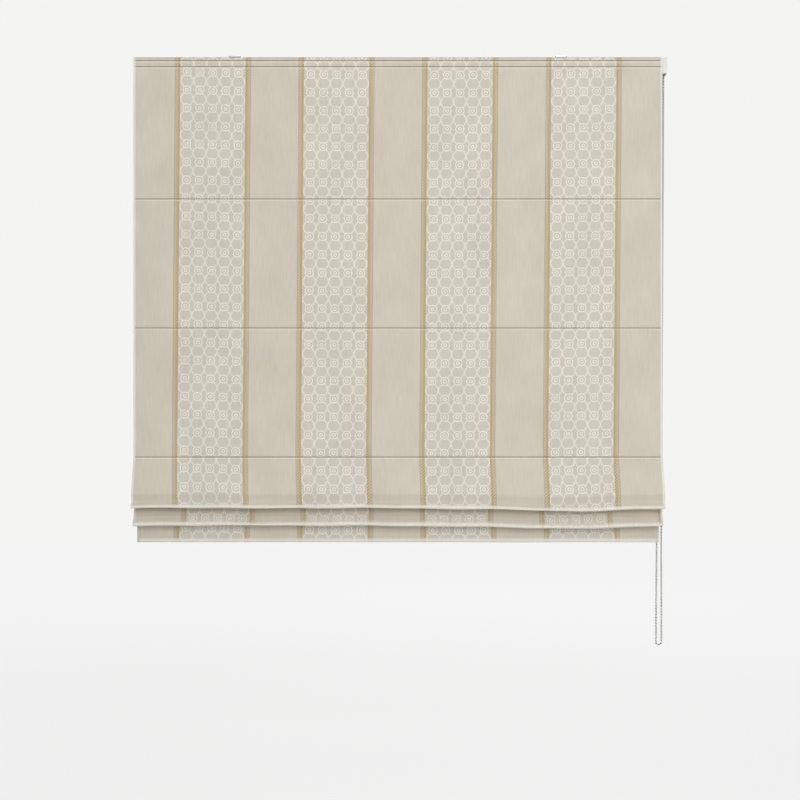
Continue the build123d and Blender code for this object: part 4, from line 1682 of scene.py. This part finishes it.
@dataclass
class Studio:
    """Camera, lights, floor and room.

    Args:
        eye: Place of the camera.
        lens: Its focal length in millimetres.
        sensor: Width of its sensor in millimetres.
        floor_z: Height of the floor.
        floor_half: Half its width.
        pale: Colour of the room as the camera sees it.
        bounce: Colour of the floor's paint, which throws little light back, so that the folds keep
            their shade.
        matt: Roughness of that paint.
        white: Colour of the room's light.
        ambient: Strength of the room's light.
        glow: Share of plain white in the floor under the blind; the rest is paint, with the shadow.
        fade: Distances from the blind where the floor begins to turn into the room and has done so.
        lamps: Soft lights behind the camera and above it, a weak one below, and one at the back.
    """

    eye: Triple = (0.004, -3.0189, -0.697)
    lens: float = 66.77
    sensor: float = 36.0
    floor_z: float = -1.42
    floor_half: float = 4.5
    pale: str = "#F4F4F3"
    bounce: str = "#BCBCBA"
    matt: float = 0.9
    white: str = "#FFFFFF"
    ambient: float = 0.30
    glow: float = 0.78
    fade: Pair = (1.2, 3.2)
    lamps: tuple[Lamp, ...] = (
        Lamp("key", (0.6, -4.2, -0.1), (0.0, 0.0, -0.7), 1.6, 95.0),
        Lamp("top", (0.3, -3.4, 3.2), (0.0, 0.0, -0.7), 1.2, 30.0),
        Lamp("low_fill", (0.5, -2.0, -1.3), (0.0, 0.0, -0.7), 1.0, 2.6),
        Lamp("back", (0.6, 3.4, 0.8), (0.0, 0.0, -0.5), 1.6, 70.0),
    )

    def set_camera(self) -> None:
        """Place the camera in front of the blind."""
        data = bpy.data.cameras.new("camera")
        data.lens = self.lens
        data.sensor_width = self.sensor
        data.dof.use_dof = False
        camera = bpy.data.objects.new("camera", data)
        camera.location = self.eye
        camera.rotation_euler = (math.pi / 2, 0, 0)
        bpy.context.scene.collection.objects.link(camera)
        bpy.context.scene.camera = camera

    def seen(self, tree: Tree) -> Socket:
        """Tell the rays that show the room from those that light the blind.

        The room shows straight, in metal and through clear parts.

        Args:
            tree: The material's or the world's tree.

        Returns:
            One for a ray that shows the room.
        """
        path = add(tree, "ShaderNodeLightPath").node.outputs
        mirrored = {0: path["Is Glossy Ray"], 1: path["Is Transmission Ray"]}
        both = add(tree, MATH, mirrored, operation="MAXIMUM")
        return add(tree, MATH, {0: path["Is Camera Ray"], 1: both}, operation="MAXIMUM")

    def set_stage(self) -> None:
        """Make the floor, which looks the same as the room behind it but for a faint shadow."""
        material, tree, shader = new_material("matt painted studio floor")
        shader.inputs["Base Color"].default_value = linear(self.bounce)
        shader.inputs["Roughness"].default_value = self.matt
        place = add(tree, COORDS).node.outputs["Object"]
        level_part = {0: place, 1: (1.0, 1.0, 0.0)}
        flat = add(tree, "ShaderNodeVectorMath", level_part, operation="MULTIPLY")
        away = add(tree, "ShaderNodeVectorMath", {0: flat}, operation="LENGTH")
        ends = {"Value": away, 1: self.fade[0], 2: self.fade[1]}
        level = add(tree, RANGE, {**ends, 3: 1.0, 4: linear(self.pale)[1]})
        cover = add(tree, RANGE, {**ends, 3: self.glow, 4: 1.0})
        white = add(tree, "ShaderNodeEmission", {"Color": linear(self.white), "Strength": level})
        share = add(tree, MATH, {0: self.seen(tree), 1: cover}, operation="MULTIPLY")
        surface = tree.nodes["Material Output"].inputs["Surface"]
        add(tree, "ShaderNodeMixShader", {0: share, 1: shader.outputs[0], 2: white}, surface)
        corners = ((-1, -1), (1, -1), (1, 1), (-1, 1))
        points = [(x * self.floor_half, y * self.floor_half, self.floor_z) for x, y in corners]
        mesh = bpy.data.meshes.new("floor")
        mesh.from_pydata(points, [], [(0, 1, 2, 3)])
        mesh.materials.append(material)
        floor = bpy.data.objects.new("floor", mesh)
        bpy.context.scene.collection.objects.link(floor)

    def set_lights(self) -> None:
        """Place the lamps and light the room."""
        for lamp in self.lamps:
            data = bpy.data.lights.new(lamp.name, "AREA")
            data.shape = "SQUARE"
            data.size = lamp.size
            data.energy = lamp.power
            light = bpy.data.objects.new(lamp.name, data)
            light.location = lamp.place
            facing = Vector(lamp.aim) - Vector(lamp.place)
            light.rotation_euler = facing.to_track_quat("-Z", "Y").to_euler()
            bpy.context.scene.collection.objects.link(light)
        world = bpy.data.worlds.new("soft_room")
        world.use_nodes = True
        tree = world.node_tree
        sky = tree.nodes["Background"]
        sky.inputs["Color"].default_value = linear(self.white)
        sky.inputs["Strength"].default_value = self.ambient
        shown = add(tree, "ShaderNodeBackground", {"Color": linear(self.pale), "Strength": 1.0})
        surface = tree.nodes["World Output"].inputs["Surface"]
        add(tree, "ShaderNodeMixShader", {0: self.seen(tree), 1: sky.outputs[0], 2: shown}, surface)
        bpy.context.scene.world = world
        bpy.context.scene.view_settings.view_transform = "Standard"


class SubAssembly(Protocol):
    """Anything that builds pieces of the blind."""

    def build(self) -> list[Piece]:
        """Make the pieces."""


def clear_defaults() -> None:
    """Remove what a new scene starts with."""
    for item in list(bpy.data.objects):
        if item.type in {"MESH", "LIGHT", "CAMERA"} and "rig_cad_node" not in item:
            bpy.data.objects.remove(item)


def main() -> None:
    """Build the looks piece by piece."""
    logging.basicConfig(level=logging.INFO, format="%(name)s: %(message)s")
    clear_defaults()
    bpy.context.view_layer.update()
    studio = Studio()
    studio.set_camera()
    makers: list[SubAssembly] = [
        BeadChain(),
        Hardware(),
        Cloth(),
        HeaderTapes(),
        RodPockets(),
        Windings(),
    ]
    for maker in makers:
        for piece in maker.build():
            LOG.info("%s: %s", type(maker).__name__, piece.name)
    studio.set_stage()
    studio.set_lights()


if __name__ == "__main__":
    main()
